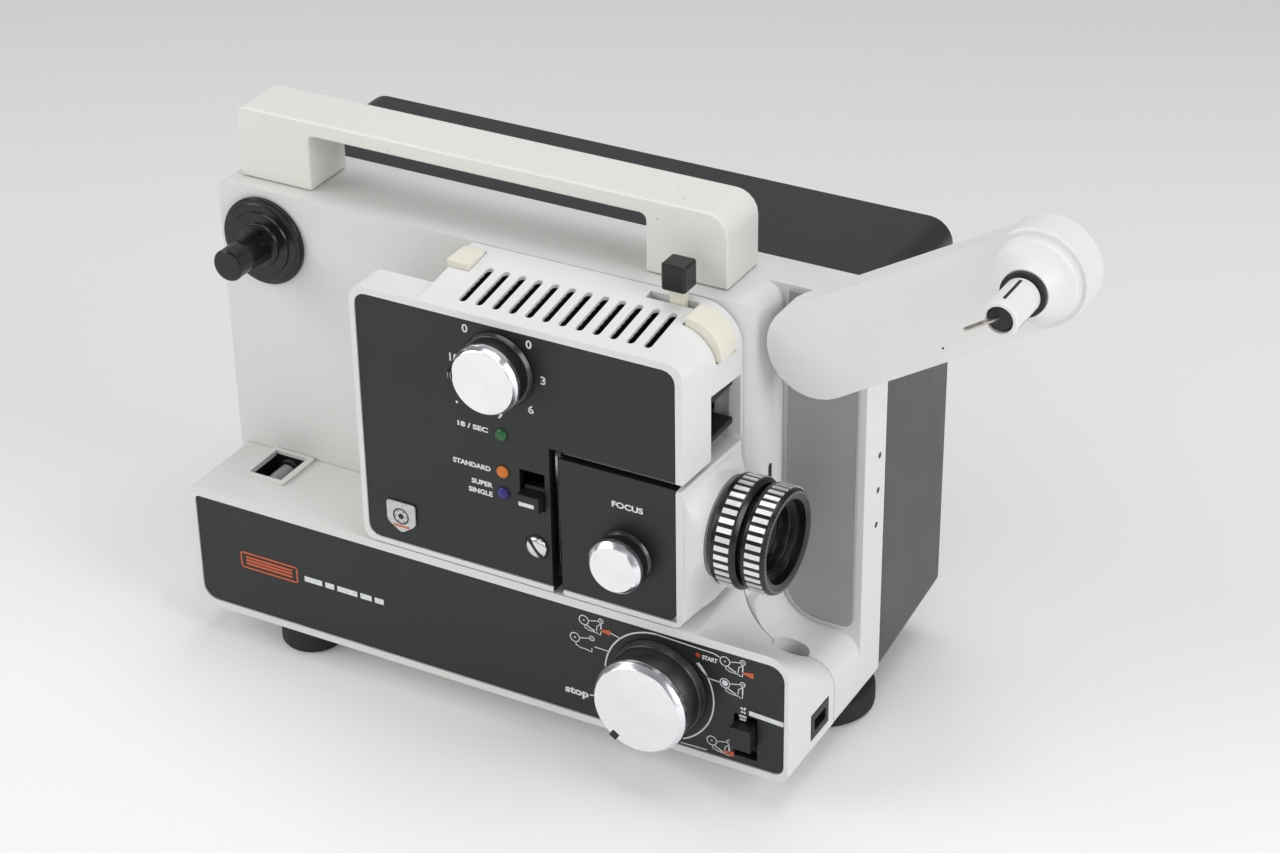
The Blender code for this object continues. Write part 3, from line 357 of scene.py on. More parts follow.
def turned_mesh(axis, centre, profile, segments, ripple=None):
    """Points and faces of a turned solid; ripple(radius, along, angle) may change a point's radius."""
    points, faces = [], []
    for radius, along in profile:
        for k in range(segments):
            angle = 2 * math.pi * k / segments
            r = ripple(radius, along, angle) if ripple else radius
            u, v = centre[0] + r * math.cos(angle), centre[1] + r * math.sin(angle)
            points.append(on_axis(axis, along, u, v))
    count = len(profile)
    for level in range(count):
        following = (level + 1) % count
        if profile[level][0] < 1e-6 and profile[following][0] < 1e-6:
            continue
        for k in range(segments):
            a, b = level * segments + k, level * segments + (k + 1) % segments
            c, d = following * segments + (k + 1) % segments, following * segments + k
            faces.append((a, b, c, d))
    return points, faces


def turned(name, axis, centre, profile, material, body, segments=96, ripple=None, sharp=35.0):
    """Turned piece from a closed profile of (radius, distance along the axis)."""
    points, faces = turned_mesh(axis, centre, profile, segments, ripple)
    return new_piece(name, points, faces, material, body, True, sharp)


def fillet(profile, radii, steps=4):
    """Profile with some corners turned into arcs; radii maps a corner's index to its radius."""
    out = []
    count = len(profile)
    for index, point in enumerate(profile):
        radius = radii.get(index, 0.0)
        if not radius:
            out.append(point)
            continue
        here, before = Vector(point), Vector(profile[index - 1])
        after = Vector(profile[(index + 1) % count])
        to_before, to_after = (before - here).normalized(), (after - here).normalized()
        half = to_before.angle(to_after) / 2
        start, end = here + to_before * radius / math.tan(half), here + to_after * radius / math.tan(half)
        centre = here + (to_before + to_after).normalized() * radius / math.sin(half)
        first, last = start - centre, end - centre
        sweep = first.angle(last)
        for step in range(steps + 1):
            blend = step / steps
            ray = first * math.sin((1 - blend) * sweep) + last * math.sin(blend * sweep)
            out.append(tuple(centre + ray / math.sin(sweep)))
    return out


def ribbon(points, width, closed=False):
    """Flat strip along (x, z) points, as four-cornered polygons in the XZ plane."""
    left, right = [], []
    count = len(points)
    for index, (x, z) in enumerate(points):
        before = points[index - 1] if index or closed else points[index]
        after = points[(index + 1) % count] if index < count - 1 or closed else points[index]
        along = Vector((after[0] - before[0], after[1] - before[1])).normalized()
        side = Vector((-along.y, along.x)) * width / 2
        left.append((x + side.x, z + side.y))
        right.append((x - side.x, z - side.y))
    spans = [(k, (k + 1) % count) for k in range(count if closed else count - 1)]
    return [(left[k], left[n], right[n], right[k]) for k, n in spans]


def arc(centre, radius, start, end, steps):
    """Points of an arc between two angles in degrees."""
    return [(centre[0] + radius * math.cos(math.radians(start + (end - start) * k / steps)),
             centre[1] + radius * math.sin(math.radians(start + (end - start) * k / steps)))
            for k in range(steps + 1)]


def marks(name, quads, face_y, material, body):
    """Printed marks from polygons given as (x, z) corners, just in front of a face that looks along -Y."""
    points, faces = [], []
    for quad in quads:
        faces.append(tuple(range(len(points), len(points) + len(quad))))
        points += [(x, face_y - LIFT, z) for x, z in quad]
    new_piece(name, points, faces, material, body, False)


SIZE_OF_CAPITAL = 1.38  # font size for a capital letter of height 1


def text(name, words, x, z, height, face_y, material, body, align="CENTER", thick=0.0, stretch=1.25):
    """Printed words of a given height; thick widens the strokes and stretch widens the letters."""
    curve = bpy.data.curves.new(name, "FONT")
    curve.body = words
    curve.size = height * MM * SIZE_OF_CAPITAL
    curve.align_x = align
    curve.align_y = "CENTER"
    curve.extrude = 0.015 * MM
    curve.offset = thick * MM
    curve.resolution_u = 4
    curve.materials.append(material)
    item = bpy.data.objects.new(name, curve)
    item.rotation_euler = (math.radians(90), 0, 0)
    item.location = spot(x, face_y - LIFT, z)
    item.scale = (stretch, 1.0, 1.0)
    bpy.context.scene.collection.objects.link(item)
    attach(item, body)


def soften(node, width):
    """Rounds a CAD node's edges without touching its mesh."""
    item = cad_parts[node]
    item.data.shade_smooth()
    weld = item.modifiers.new("weld", "WELD")
    weld.merge_threshold = 2e-6
    flat = item.modifiers.new("flat", "DECIMATE")
    flat.decimate_type = "DISSOLVE"
    flat.angle_limit = math.radians(0.4)
    bevel = item.modifiers.new("bevel", "BEVEL")
    bevel.width = width * MM
    bevel.segments = 3
    bevel.limit_method = "ANGLE"
    bevel.angle_limit = math.radians(32.0)
    bevel.miter_outer = "MITER_ARC"
    bevel.use_clamp_overlap = True
    bevel.harden_normals = True
    normals = item.modifiers.new("normals", "WEIGHTED_NORMAL")
    normals.keep_sharp = False
    normals.weight = 80


# ---- carried-over CAD pieces -----------------------------------------------------------------------------

CAD_LOOKS = {
    "base_shell": (WHITE_BASE, 0.5), "body_shell": (WHITE, 0.5), "mechanism_cover": (WHITE_COVER, 0.8),
    "lens_door": (WHITE_DOOR, 0.7), "rear_cover": (REAR, 0.9), "carry_handle": (CREAM, 0.9),
    "base_panel": (LOWER_PANEL, 0.15), "mechanism_panel": (PANEL, 0.15), "lens_door_panel": (PANEL, 0.15),
    "recess_liner": (LINER, 0.2), "feed_arm": (ARM_WHITE, 0.9), "arm_pivot": (STEEL, 0.2),
    "film_trimmer": (BLACK, 0.3), "format_switch": (BLACK, 0.4), "framing_lever": (CREAM_PART, 0.4),
    "framing_knob": (BLACK_GLOSS, 0.8), "trimmer_lever": (BLACK, 0.8), "cover_catch_left": (CREAM_PART, 0.5),
    "cover_catch_right": (CREAM_PART, 0.5), "front_foot": (RUBBER, 0.3), "rear_foot": (RUBBER, 0.3),
    "power_inlet": (BLACK, 0.3), "film_chute": (BLACK, 0.3), "badge_plate": (BADGE, 0.1),
    "spindle_collar": (BLACK, 0.2), "spindle_key": (KEY_STEEL, 0.12),
    "tilt_stem": (STEEL, 0.0), "mechanism_plate": (STEEL, 0.0),
    "film_gate": (STEEL, 0.2), "pressure_plate": (STEEL, 0.2), "film_claw": (STEEL, 0.2),
    "drive_sprocket": (STEEL, 0.0), "drive_shaft": (STEEL, 0.0), "drive_wheel": (RUBBER, 0.2),
    "shutter": (BLACK, 0.0), "motor": (STEEL, 0.3), "motor_shaft": (STEEL, 0.0), "cooling_fan": (BLACK, 0.0),
    "transformer": (COPPER, 0.3), "lamp_socket": (CREAM_PART, 0.3), "lamp_bulb": (BULB_GLASS, 0.0),
    "lamp_reflector": (STEEL, 0.0), "lens_barrel": (BLACK_GLOSS, 0.2),
}


def dress_cad():
    for node, (material, width) in CAD_LOOKS.items():
        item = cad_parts[node]
        paint(item, material)
        if width:
            soften(node, width)
        else:
            item.data.shade_smooth()


# ---- knobs -----------------------------------------------------------------------------------------------

def toothed(teeth, depth, low, high):
    """Ripple for a straight knurl between two distances along the axis."""
    def ripple(radius, along, angle):
        if low < along < high:
            return radius - depth * (0.5 - 0.5 * math.cos(teeth * angle))
        return radius
    return ripple


def diamond(teeth, depth, low, high):
    """Ripple for a diamond knurl: two crossing helices of grooves."""
    def ripple(radius, along, angle):
        if not low < along < high:
            return radius
        turn = teeth * along / radius
        crossing = math.cos(teeth * angle + turn) + math.cos(teeth * angle - turn)
        return radius - depth * (0.5 - 0.25 * crossing)
    return ripple


KNOB_BODIES = {"speed_knob": "speed_control", "mode_knob": "mode_control", "focus_knob": "focus_control"}


def knob(name, axis, rings, depths, teeth=0, tab=None):
    """Black skirt on a conical flange, and a spun aluminium cap with a polished bevel.

    rings is (flange, skirt, cap, face) radii; depths is (flange, skirt, rim, face), measured towards the
    front; tab is (angle in degrees, inner radius, outer radius, half width)."""
    flange, skirt, cap, face = rings
    flange_depth, skirt_depth, rim_depth, face_depth = depths
    body = KNOB_BODIES[name]
    cone = fillet([(0, -flange_depth), (flange - 0.8, -flange_depth), (flange, -0.4), (flange, 0.1),
                   (0, 0.1)], {1: 0.4, 2: 0.15})
    turned(name + "_flange", "Y", axis, cone, SKIRT_GLOSS, body, 128, None, 40)
    rows = 14 if teeth else 1
    first, last = -skirt_depth + 0.35, -flange_depth + 0.3
    band = [(skirt, first + (last - first) * k / rows) for k in range(rows + 1)]
    profile = [(0, -skirt_depth), (skirt - 0.5, -skirt_depth), *band, (0, -flange_depth + 0.4)]
    ripple = diamond(teeth, 0.2, first - 0.01, last) if teeth else None
    grip = turned(name + "_skirt", "Y", axis, profile, BLACK, body, teeth * 4 if teeth else 160, ripple, 60)
    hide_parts(name)
    bevel = [(face - 1.2, -face_depth + 0.3), (face - 0.45, -face_depth), (face - 0.1, -face_depth + 0.02),
             (face + 0.2, -face_depth + 0.25), (cap - 0.3, -rim_depth - 0.3), (cap - 0.05, -rim_depth),
             (cap, -rim_depth + 0.4), (cap, -skirt_depth - 0.3), (cap - 0.3, -skirt_depth - 0.02),
             (face - 1.2, -skirt_depth - 0.02)]
    rim = turned(name + "_cap_bevel", "Y", axis, bevel, POLISHED, body, 192, None, 28)
    disc = [(0, -face_depth + 0.02), (face - 0.4, -face_depth + 0.02), (face - 0.4, -face_depth + 0.4),
            (0, -face_depth + 0.4)]
    turned(name + "_cap_face", "Y", axis, disc, spun_metal(name + "_aluminium", axis), body, 128, None, 30)
    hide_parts(name + "_cap")
    if tab:
        angle, inner, outer, half = tab
        points, faces = radial_fin(axis, math.radians(angle), inner, outer, half, -face_depth - 0.12,
                                   -flange_depth)
        pointer = new_piece(name + "_pointer", points, faces, BLACK, body, False)
        edge = pointer.modifiers.new("edge", "BEVEL")
        edge.width, edge.segments = 0.2 * MM, 2


def build_knobs():
    knob("speed_knob", SPEED, (14.5, 12.9, 13.3, 12.1), (2.0, 6.6, 8.3, 10.6), 120, (180, 11.7, 14.4, 1.4))
    knob("mode_knob", MODE, (19.3, 18.2, 18.4, 17.0), (3.4, 12.2, 14.2, 16.5), 0, (236, 14.8, 18.0, 1.6))
    knob("focus_knob", FOCUS, (10.7, 10.0, 10.5, 8.9), (1.6, 5.6, 7.7, 9.5), 96)
    notches = [[(SPEED[0] + r, SPEED[1] - 1.2), (SPEED[0] + r + 0.3, SPEED[1] - 1.2),
                (SPEED[0] + r + 0.3, SPEED[1] + 1.2), (SPEED[0] + r, SPEED[1] + 1.2)]
               for r in (-12.6, -13.7)]
    marks("speed_pointer_notches", notches, -10.72, ROLLER_GREY, "speed_control")


# ---- lens ------------------------------------------------------------------------------------------------

FLATS, FIRST_FLAT = 38, math.radians(150.2)


def knurled_ring(name, profile, low, high, radius, body, replaced):
    """Black ring with a row of bright flats along it, each with its own ends."""
    ring = turned(name, "X", LENS, profile, BLACK_GLOSS, body, 144, None, 30)
    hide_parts(replaced)
    points, faces = [], []
    half, steps = math.pi / FLATS * 0.56, 4
    rows = ((low, radius - 0.9), (low, radius - 0.05), (low + 0.12, radius), (high - 0.12, radius),
            (high, radius - 0.05), (high, radius - 0.9))
    for k in range(FLATS):
        centre = FIRST_FLAT + 2 * math.pi * k / FLATS
        angles = [centre + half * (2 * s / steps - 1) for s in range(steps + 1)]
        start = len(points)
        for x, r in rows:
            for a in angles:
                # a flat is a chord: its middle stands a little lower than the round between its edges
                chord = r * math.cos(half) / math.cos(a - centre)
                points.append((x, LENS[0] + chord * math.cos(a), LENS[1] + chord * math.sin(a)))
        width = steps + 1
        for row in range(len(rows) - 1):
            here, after = start + row * width, start + (row + 1) * width
            faces += [(here + s, here + s + 1, after + s + 1, after + s) for s in range(steps)]
        for side in (0, steps):
            faces.append(tuple(start + row * width + side for row in range(len(rows))))
        faces.append(tuple(start + s for s in range(width))
                     + tuple(start + (len(rows) - 1) * width + s for s in reversed(range(width))))
    new_piece(name + "_lands", points, faces, SILVER_LAND, body, False)


def build_lens():
    rear = fillet([(15.2, 223.5), (19.6, 223.5), (20.2, 224.3), (20.2, 232.2), (18.9, 233.7), (15.2, 233.7)],
                  {1: 0.3, 2: 0.4, 3: 0.5, 4: 0.3})
    knurled_ring("lens_rear_knurl", rear, 226.1, 231.7, 20.55, "lens", "lens_rear_ring")
    front = fillet([(15.4, 235.0), (18.6, 235.0), (19.5, 236.0), (19.5, 242.6), (19.2, 243.7), (18.9, 243.9),
                    (18.9, 244.3), (18.2, 244.75), (17.4, 244.75), (15.4, 244.0)], {1: 0.3, 2: 0.4, 3: 0.3})
    knurled_ring("zoom_knurl", front, 237.4, 243.2, 19.78, "zoom", "zoom_ring")
    bore = [(18.35, 244.79), (17.45, 244.79), (17.3, 244.4)]
    bore += [(17.25 - 0.42 * k - (0.16 if k % 2 else 0.0), 244.1 - 0.55 * k) for k in range(5)]
    bore += [(15.25, 240.6), (13.4, 239.75), (12.4, 239.7), (12.4, 239.55), (15.35, 239.55), (18.35, 244.0)]
    turned("zoom_bore", "X", LENS, bore, BLACK_GLOSS, "zoom", 144, None, 25)
    teeth = 72
    rim = [(18.55, 244.6), (18.3, 244.8), (17.6, 244.8), (17.4, 244.6), (17.4, 244.2), (18.55, 244.2)]
    turned("zoom_rim", "X", LENS, rim, WORN_RIM, "zoom", teeth * 4, toothed(teeth, 0.22, 244.5, 244.79), 40)
    groove = [(15.0, 233.5), (16.6, 233.5), (16.6, 235.1), (15.0, 235.1)]
    turned("lens_groove", "X", LENS, groove, BLACK, "lens", 96)
    inner = fillet([(10.9, 235.4), (12.15, 236.0), (12.15, 239.3), (11.7, 239.4), (11.2, 236.9)], {3: 0.1})
    turned("lens_inner_ring", "X", LENS, inner, BLACK_GLOSS, "lens", 96)
    bulge = [(11.9 * math.sin(math.radians(a)), 232.6 + 5.2 * math.cos(math.radians(a)))
             for a in range(0, 91, 6)] + [(11.9, 232.2), (0, 232.2)]
    glass = turned("front_element", "X", LENS, bulge, LENS_GLASS, "lens", 96, None, 50)
    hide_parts("lens_front_glass")


def build_lens_flare():
    """Smooth collar of the door around the lens: it rises from the door's slanted side to the rear ring."""
    inner, root, outer, end, rows, segments = 15.4, 18.7, 33.0, 221.4, 14, 144
    door_low, door_high = ((corner - BASE_CORNER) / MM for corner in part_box("lens_door"))

    def side(y):
        return 213.6 + 3.4 * y / 38.0

    def reach(angle):
        room = DOOR_HIGH.z - 0.6 - LENS[1] if math.sin(angle) > 0 else LENS[1] - door_low.z - 1.2
        return max(root + 0.3, min(outer, room / max(abs(math.sin(angle)), 0.01)))

    profile = [((k / rows) ** 1.3, (1 - k / rows) ** 2.6) for k in range(rows + 1)]
    profile += [(1.0, -0.25), (None, -0.25), (None, 1.0)]
    points = []
    for share, height in profile:
        for k in range(segments):
            angle = 2 * math.pi * k / segments
            radius = inner if share is None else root + (reach(angle) - root) * share
            y = min(max(LENS[0] + radius * math.cos(angle), 0.35), door_high.y - 0.5)
            z = min(max(LENS[1] + radius * math.sin(angle), door_low.z + 1.0), DOOR_HIGH.z - 0.4)
            points.append((side(y) + (end - side(y)) * height, y, z))
    count = len(profile)
    faces = [(level * segments + k, level * segments + (k + 1) % segments,
              (level + 1) % count * segments + (k + 1) % segments, (level + 1) % count * segments + k)
             for level in range(count) for k in range(segments)]
    new_piece("lens_door_flare", points, faces, WHITE_DOOR, "door", True, 60.0)


# ---- spindles and arm ------------------------------------------------------------------------------------

def radial_fin(centre, angle, inner, outer, half, low, high):
    """Box standing on a radius of an axis along Y: points and faces."""
    direction, across = (math.cos(angle), math.sin(angle)), (-math.sin(angle), math.cos(angle))
    corners = [(inner, -half), (outer, -half), (outer, half), (inner, half)]
    outline = [(centre[0] + r * direction[0] + s * across[0], centre[1] + r * direction[1] + s * across[1])
               for r, s in corners]
    points = [(x, y, z) for y in (low, high) for x, z in outline]
    faces = [(0, 1, 2, 3), (7, 6, 5, 4)] + [(k, (k + 1) % 4, (k + 1) % 4 + 4, k + 4) for k in range(4)]
    return points, faces


def build_take_up():
    post = fillet([(0, 13.6), (5.7, 13.6), (6.2, 14.2), (6.2, 21.6), (4.9, 22.6), (4.9, 32.4), (8.6, 33.2),
                   (8.9, 34.2), (12.4, 34.4), (12.7, 35.1), (15.4, 35.2), (15.8, 35.6), (17.0, 35.8),
                   (17.5, 36.4), (17.5, 37.9), (3.2, 37.9), (3.2, 57.9), (0, 57.9)],
                  {1: 0.3, 6: 0.4, 13: 0.4})
    spindle = turned("take_up_reel_post", "Y", TAKE_UP, post, BLACK_GLOSS, "take_up_reel_spindle", 96, None,
                     28)
    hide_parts("take_up_spindle")
    for k in range(3):
        points, faces = radial_fin(TAKE_UP, math.radians(90 + 120 * k), 3.0, 6.85, 0.9, 22.4, 34.0)
        fin = new_piece(f"take_up_fin_{k}", points, faces, BLACK, "take_up_reel_spindle", False)
        bevel = fin.modifiers.new("bevel", "BEVEL")
        bevel.width, bevel.segments = 0.25 * MM, 2


def build_feed_spindle():
    outer = fillet([(4.7, 10.5), (5.7, 10.5), (6.3, 11.3), (6.3, 29.0), (3.0, 29.0), (3.0, 51.4), (0, 51.4),
                    (0, 14.5), (4.7, 14.5)], {1: 0.3, 2: 0.3})
    post = turned("feed_reel_post", "Y", ARM_TIP, outer, ARM_WHITE, "feed_reel_spindle", 96, None, 30)
    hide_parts("feed_spindle")
    # painted shade: black strips on the white post stand for the shade inside its three slots
    for k in range(3):
        points, faces = radial_fin(ARM_TIP, math.radians(90 + 120 * k), 5.5, 6.34, 0.55, 13.5, 27.5)
        new_piece(f"feed_post_slot_shade_{k}", points, faces, BLACK, "feed_reel_spindle", False)
    core = fillet([(0, 11.3), (3.9, 11.3), (4.6, 12.0), (4.6, 14.4), (0, 14.4)], {1: 0.3})
    turned("feed_reel_core", "Y", ARM_TIP, core, BLACK, "feed_reel_spindle", 64, None, 30)
    ring = fillet([(6.6, 29.9), (7.9, 29.9), (7.9, 31.0), (6.6, 31.0)], {1: 0.2})
    turned("arm_boss_ring", "Y", ARM_TIP, ring, BLACK, "arm", 96, None, 30)
    # painted shade: a dark disc stands for the shade inside the arm's pin hole
    hole = [(0, 41.96), (0.45, 41.96), (0.45, 41.99), (0, 41.99)]
    turned("arm_pin_hole_shade", "Y", (289.4, 164.5), hole, DARK_INK_AND_HOLE_SHADE, "arm", 24)


def build_tilt_wheel():
    teeth = 72
    profile = fillet([(0, -11.9), (18.9, -11.9), (20.5, -10.7), (20.7, -9.9), (20.7, -4.4), (20.4, -3.4),
                      (19.4, -2.5), (3.3, -2.5), (3.3, -7.9), (0, -7.9)], {1: 0.4})
    wheel = turned("tilt_wheel_grip", "Z", TILT, profile, RUBBER, "tilt_foot", teeth * 4,
                   toothed(teeth, 0.35, -10.5, -3.6), 60)
    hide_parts("tilt_wheel")


def build_indicators():
    dome = [(2.4 * math.sin(math.radians(a)), 0.2 - 1.1 * math.cos(math.radians(a)))
            for a in range(0, 91, 10)] + [(2.4, 1.4), (0, 1.4)]
    bezel = [(2.45, 0.5), (2.5, 0.25), (2.85, 0.25), (2.9, 0.5)]
    for name, material, z in (("green", GREEN, 112.9), ("orange", ORANGE, 97.7), ("blue", BLUE, 88.9)):
        lens = turned(f"{name}_dome", "Y", (141.4, z), dome, material, "chassis", 48, None, 50)
        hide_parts(f"indicator_{name}")
        turned(f"{name}_bezel", "Y", (141.4, z), bezel, DARK_INK_AND_HOLE_SHADE, "chassis", 48)


# ---- printed legends -------------------------------------------------------------------------------------

def polygon(centre, radius, count=28):
    return [(centre[0] + radius * math.cos(2 * math.pi * k / count),
             centre[1] + radius * math.sin(2 * math.pi * k / count)) for k in range(count)]


def pictogram(x, z, take_up_full=False, threaded=True):
    """Small line drawing of a projector: two reels joined by film over a body on two short feet."""
    quads = ribbon(polygon((x, z), 1.9), 0.36, True)
    quads += [polygon((x, z), 1.2 if take_up_full else 0.35, 16)]
    quads += ribbon(polygon((x + 7.0, z + 1.6), 0.95, 20), 0.34, True)
    quads += [polygon((x + 7.0, z + 1.6), 0.3, 12)]
    quads += ribbon([(x + 1.8, z + 0.3), (x + 4.6, z + 1.0), (x + 6.1, z + 1.3)], 0.34)
    quads += ribbon([(x + 0.2, z - 1.9), (x + 0.6, z - 3.3), (x + 1.4, z - 3.3), (x + 1.6, z - 3.7),
                     (x + 5.6, z - 3.9), (x + 5.8, z - 4.3), (x + 6.9, z - 4.3), (x + 7.0, z - 2.6)], 0.34)
    if threaded:
        quads += ribbon([(x + 0.9, z - 1.7), (x + 2.6, z - 2.6), (x + 4.4, z - 3.3)], 0.5)
        quads += ribbon([(x + 5.2, z - 3.2), (x + 5.4, z - 1.0), (x + 7.0, z + 0.4)], 0.34)
        quads += ribbon([(x + 7.0, z - 2.6), (x + 7.0, z + 0.5)], 0.5)
    return quads


def wedge(x, z):
    """Arrow-like wedge that points to the left."""
    length = 4.4
    return [(x, z + 0.25), (x + length, z + 1.0), (x + length, z - 1.3), (x, z - 0.35)]


def star(centre, outer, inner):
    """Outline of a star with eight points."""
    tips = 8
    corners = [(inner if k % 2 else outer, math.pi * k / tips) for k in range(2 * tips)]
    return [(centre[0] + r * math.cos(a), centre[1] + r * math.sin(a)) for r, a in corners]


def build_base_legend():
    white = []
    for x, z, full, threaded in ((173.0, 44.6, False, True), (169.1, 36.0, False, False),
                                 (229.8, 44.9, False, True), (229.8, 35.6, True, True),
                                 (224.6, 9.0, False, True)):
        white += pictogram(x, z, full, threaded)
    reach = 22.0
    white += ribbon(arc(MODE, reach, 176, 92, 40), 0.62)
    white += ribbon([(MODE[0] - 1.0, MODE[1] + reach), (225.6, MODE[1] + reach - 0.9), (227.6, 46.0)], 0.42)
    white += ribbon(arc(MODE, reach, 44, -64, 44), 0.62)
    white += ribbon([(218.6, 40.6), (223.2, 35.6), (227.6, 35.4)], 0.42)
    white += ribbon([(183.8, 42.4), (188.0, 41.3)], 0.42)
    white += ribbon([(177.2, 34.3), (183.0, 34.2)], 0.42)
    white += ribbon([(212.0, 3.9), (222.6, 4.2)], 0.42)
    white += ribbon([(174.7, 12.4), (176.5, 12.8)], 0.5)
    white += ribbon([(239.4, 25.9), (252.9, 25.2)], 2.0)
    white += ribbon([(236.2, 27.4), (237.9, 25.0)], 0.8) + ribbon([(238.0, 27.6), (236.4, 25.1)], 0.8)
    white += ribbon([(235.4, 23.6), (238.4, 23.6)], 0.9) + ribbon([(235.7, 22.3), (238.2, 22.3)], 0.9)
    marks("base_legend_white", white, PANEL_FACE, WHITE_INK, "chassis")
    orange = [wedge(179.4, 42.4), wedge(236.6, 42.2), wedge(229.0, 5.9)]
    marks("base_legend_orange", orange, PANEL_FACE, ORANGE_INK, "chassis")
    marks("base_legend_start_dot", [star((219.1, 44.2), 1.15, 0.7)], PANEL_FACE, RED_INK, "chassis")
    text("start_label", "START", 220.8, 43.8, 1.75, PANEL_FACE, WHITE_INK, "chassis", "LEFT", 0.09, 0.85)
    text("stop_label", "stop", 169.3, 12.2, 3.1, PANEL_FACE, WHITE_INK, "chassis", "CENTER", 0.16, 1.3)
    frame_bar = ribbon([(22.6, 22.4), (47.0, 22.4), (47.6, 23.0), (47.6, 28.4), (47.0, 29.0), (22.6, 29.0),
                        (22.0, 28.4), (22.0, 23.0)], 0.7, True)
    bars = [[(24.2, z), (45.4, z), (45.4, z + 0.9), (24.2, z + 0.9)] for z in (23.9, 25.3, 26.7)]
    marks("maker_panel_blank", frame_bar + bars, PANEL_FACE, ORANGE_INK, "chassis")
    plain = [[(x, 24.2), (x + w, 24.2), (x + w, 26.6), (x, 26.6)]
             for x, w in ((51.0, 8.0), (60.4, 4.0), (65.8, 9.0), (76.2, 5.0), (82.6, 4.0))]
    marks("model_panel_blank", plain, PANEL_FACE, WHITE_INK, "chassis")


def build_cover_legend():
    scale_radius, dot_radius = 18.2, 24.8
    for label, angle in (("0", 135), ("18", 180), ("9", 270), ("6", 315), ("3", 0), ("0", 45)):
        x = SPEED[0] + scale_radius * math.cos(math.radians(angle))
        z = SPEED[1] + scale_radius * math.sin(math.radians(angle))
        text(f"speed_mark_{angle}", label, x, z, 3.2, PANEL_FACE, WHITE_INK, "chassis", "CENTER", 0.1, 1.1)
    slant = math.radians(225)
    dot = polygon((SPEED[0] + dot_radius * math.cos(slant), SPEED[1] + dot_radius * math.sin(slant)), 0.5)
    marks("speed_dot", [dot], PANEL_FACE, WHITE_INK, "chassis")
    for name, words, x, z, stretch in (("rate", "18 / SEC", 136.0, 113.0, 1.4),
                                       ("standard", "STANDARD", 136.4, 97.2, 1.1),
                                       ("super", "SUPER", 136.8, 90.6, 1.15),
                                       ("single", "SINGLE", 136.8, 86.8, 1.15)):
        text(name + "_label", words, x, z, 1.95, PANEL_FACE, WHITE_INK, "chassis", "RIGHT", 0.11, stretch)
    marks("switch_line", [[(149.8, 88.3), (156.0, 88.3), (156.0, 89.9), (149.8, 89.9)]], -3.4, WHITE_INK,
          "format_selector")
    badge_x, badge_z, badge_face = 97.45, 67.0, -0.6
    device = ribbon(polygon((badge_x, badge_z), 3.1, 36), 0.6, True) + [polygon((badge_x, badge_z), 1.2, 20)]
    for k in range(6):
        corners = ((2.0, k * 60 - 8), (2.0, k * 60 + 8), (2.9, k * 60))
        device.append([(badge_x + r * math.cos(math.radians(a)), badge_z + r * math.sin(math.radians(a)))
                       for r, a in corners])
    marks("badge_device", device, badge_face, DARK_INK_AND_HOLE_SHADE, "chassis")
    bar = [(94.0, 62.4), (100.9, 62.4), (100.9, 63.2), (94.0, 63.2)]
    marks("badge_bar", [bar], badge_face, ORANGE_INK, "chassis")
    text("focus_label", "FOCUS", 191.6, 97.1, 2.3, PANEL_FACE, WHITE_INK, "door", "CENTER", 0.12, 1.25)


def open_box(name, low, high, material, body):
    """Thin-walled box without a top."""
    points = [(x, y, z) for x in (low[0], high[0]) for y in (low[1], high[1]) for z in (low[2], high[2])]
    faces = [(0, 1, 3, 2), (4, 6, 7, 5), (0, 4, 5, 1), (2, 3, 7, 6), (0, 2, 6, 4)]
    piece = new_piece(name, points, faces, material, body, False)
    wall = piece.modifiers.new("wall", "SOLIDIFY")
    wall.thickness, wall.offset = 0.15 * MM, -1.0


def build_film_exit():
    """Black throat below the rim in the base top, with the grey film roller across it."""
    open_box("film_exit_throat", (15.3, 19.2, 40.6), (29.7, 35.8, 52.3), BLACK, "chassis")
    axis, body = (23.0, 46.5), "film_exit_roller"
    core = fillet([(0, 21.9), (3.9, 21.9), (3.9, 33.1), (0, 33.1)], {1: 0.2, 2: 0.2})
    roller = turned("film_exit_roller_core", "Y", axis, core, ROLLER_GREY, body, 64, None, 30)
    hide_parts("exit_roller")
    for side, near in (("near", 19.7), ("far", 33.6)):
        flange = fillet([(0, near), (5.2, near), (5.2, near + 1.7), (0, near + 1.7)], {1: 0.4, 2: 0.4})
        turned(f"film_exit_roller_{side}", "Y", axis, flange, BLACK, body, 64, None, 30)


def build_grille_shade_sheet():
    """Black sheet under the grille: painted shade, seen through the slots, that hides the inside of the
    cover.
    """
    rows = [(y, 154.9 + 0.139 * (y - 4.8)) for y in (4.8, 12.7, 20.6, 28.5)]
    points = [(x, y, z) for y, z in rows for x in (113.0, 207.0)]
    faces = [(2 * k, 2 * k + 1, 2 * k + 3, 2 * k + 2) for k in range(3)]
    shade_sheet = new_piece("grille_shade_sheet", points, faces, BLACK, "chassis")
    wall = shade_sheet.modifiers.new("wall", "SOLIDIFY")
    wall.thickness, wall.offset = 0.4 * MM, -1.0


SCREW = middle("cover_screw").x, middle("cover_screw").z


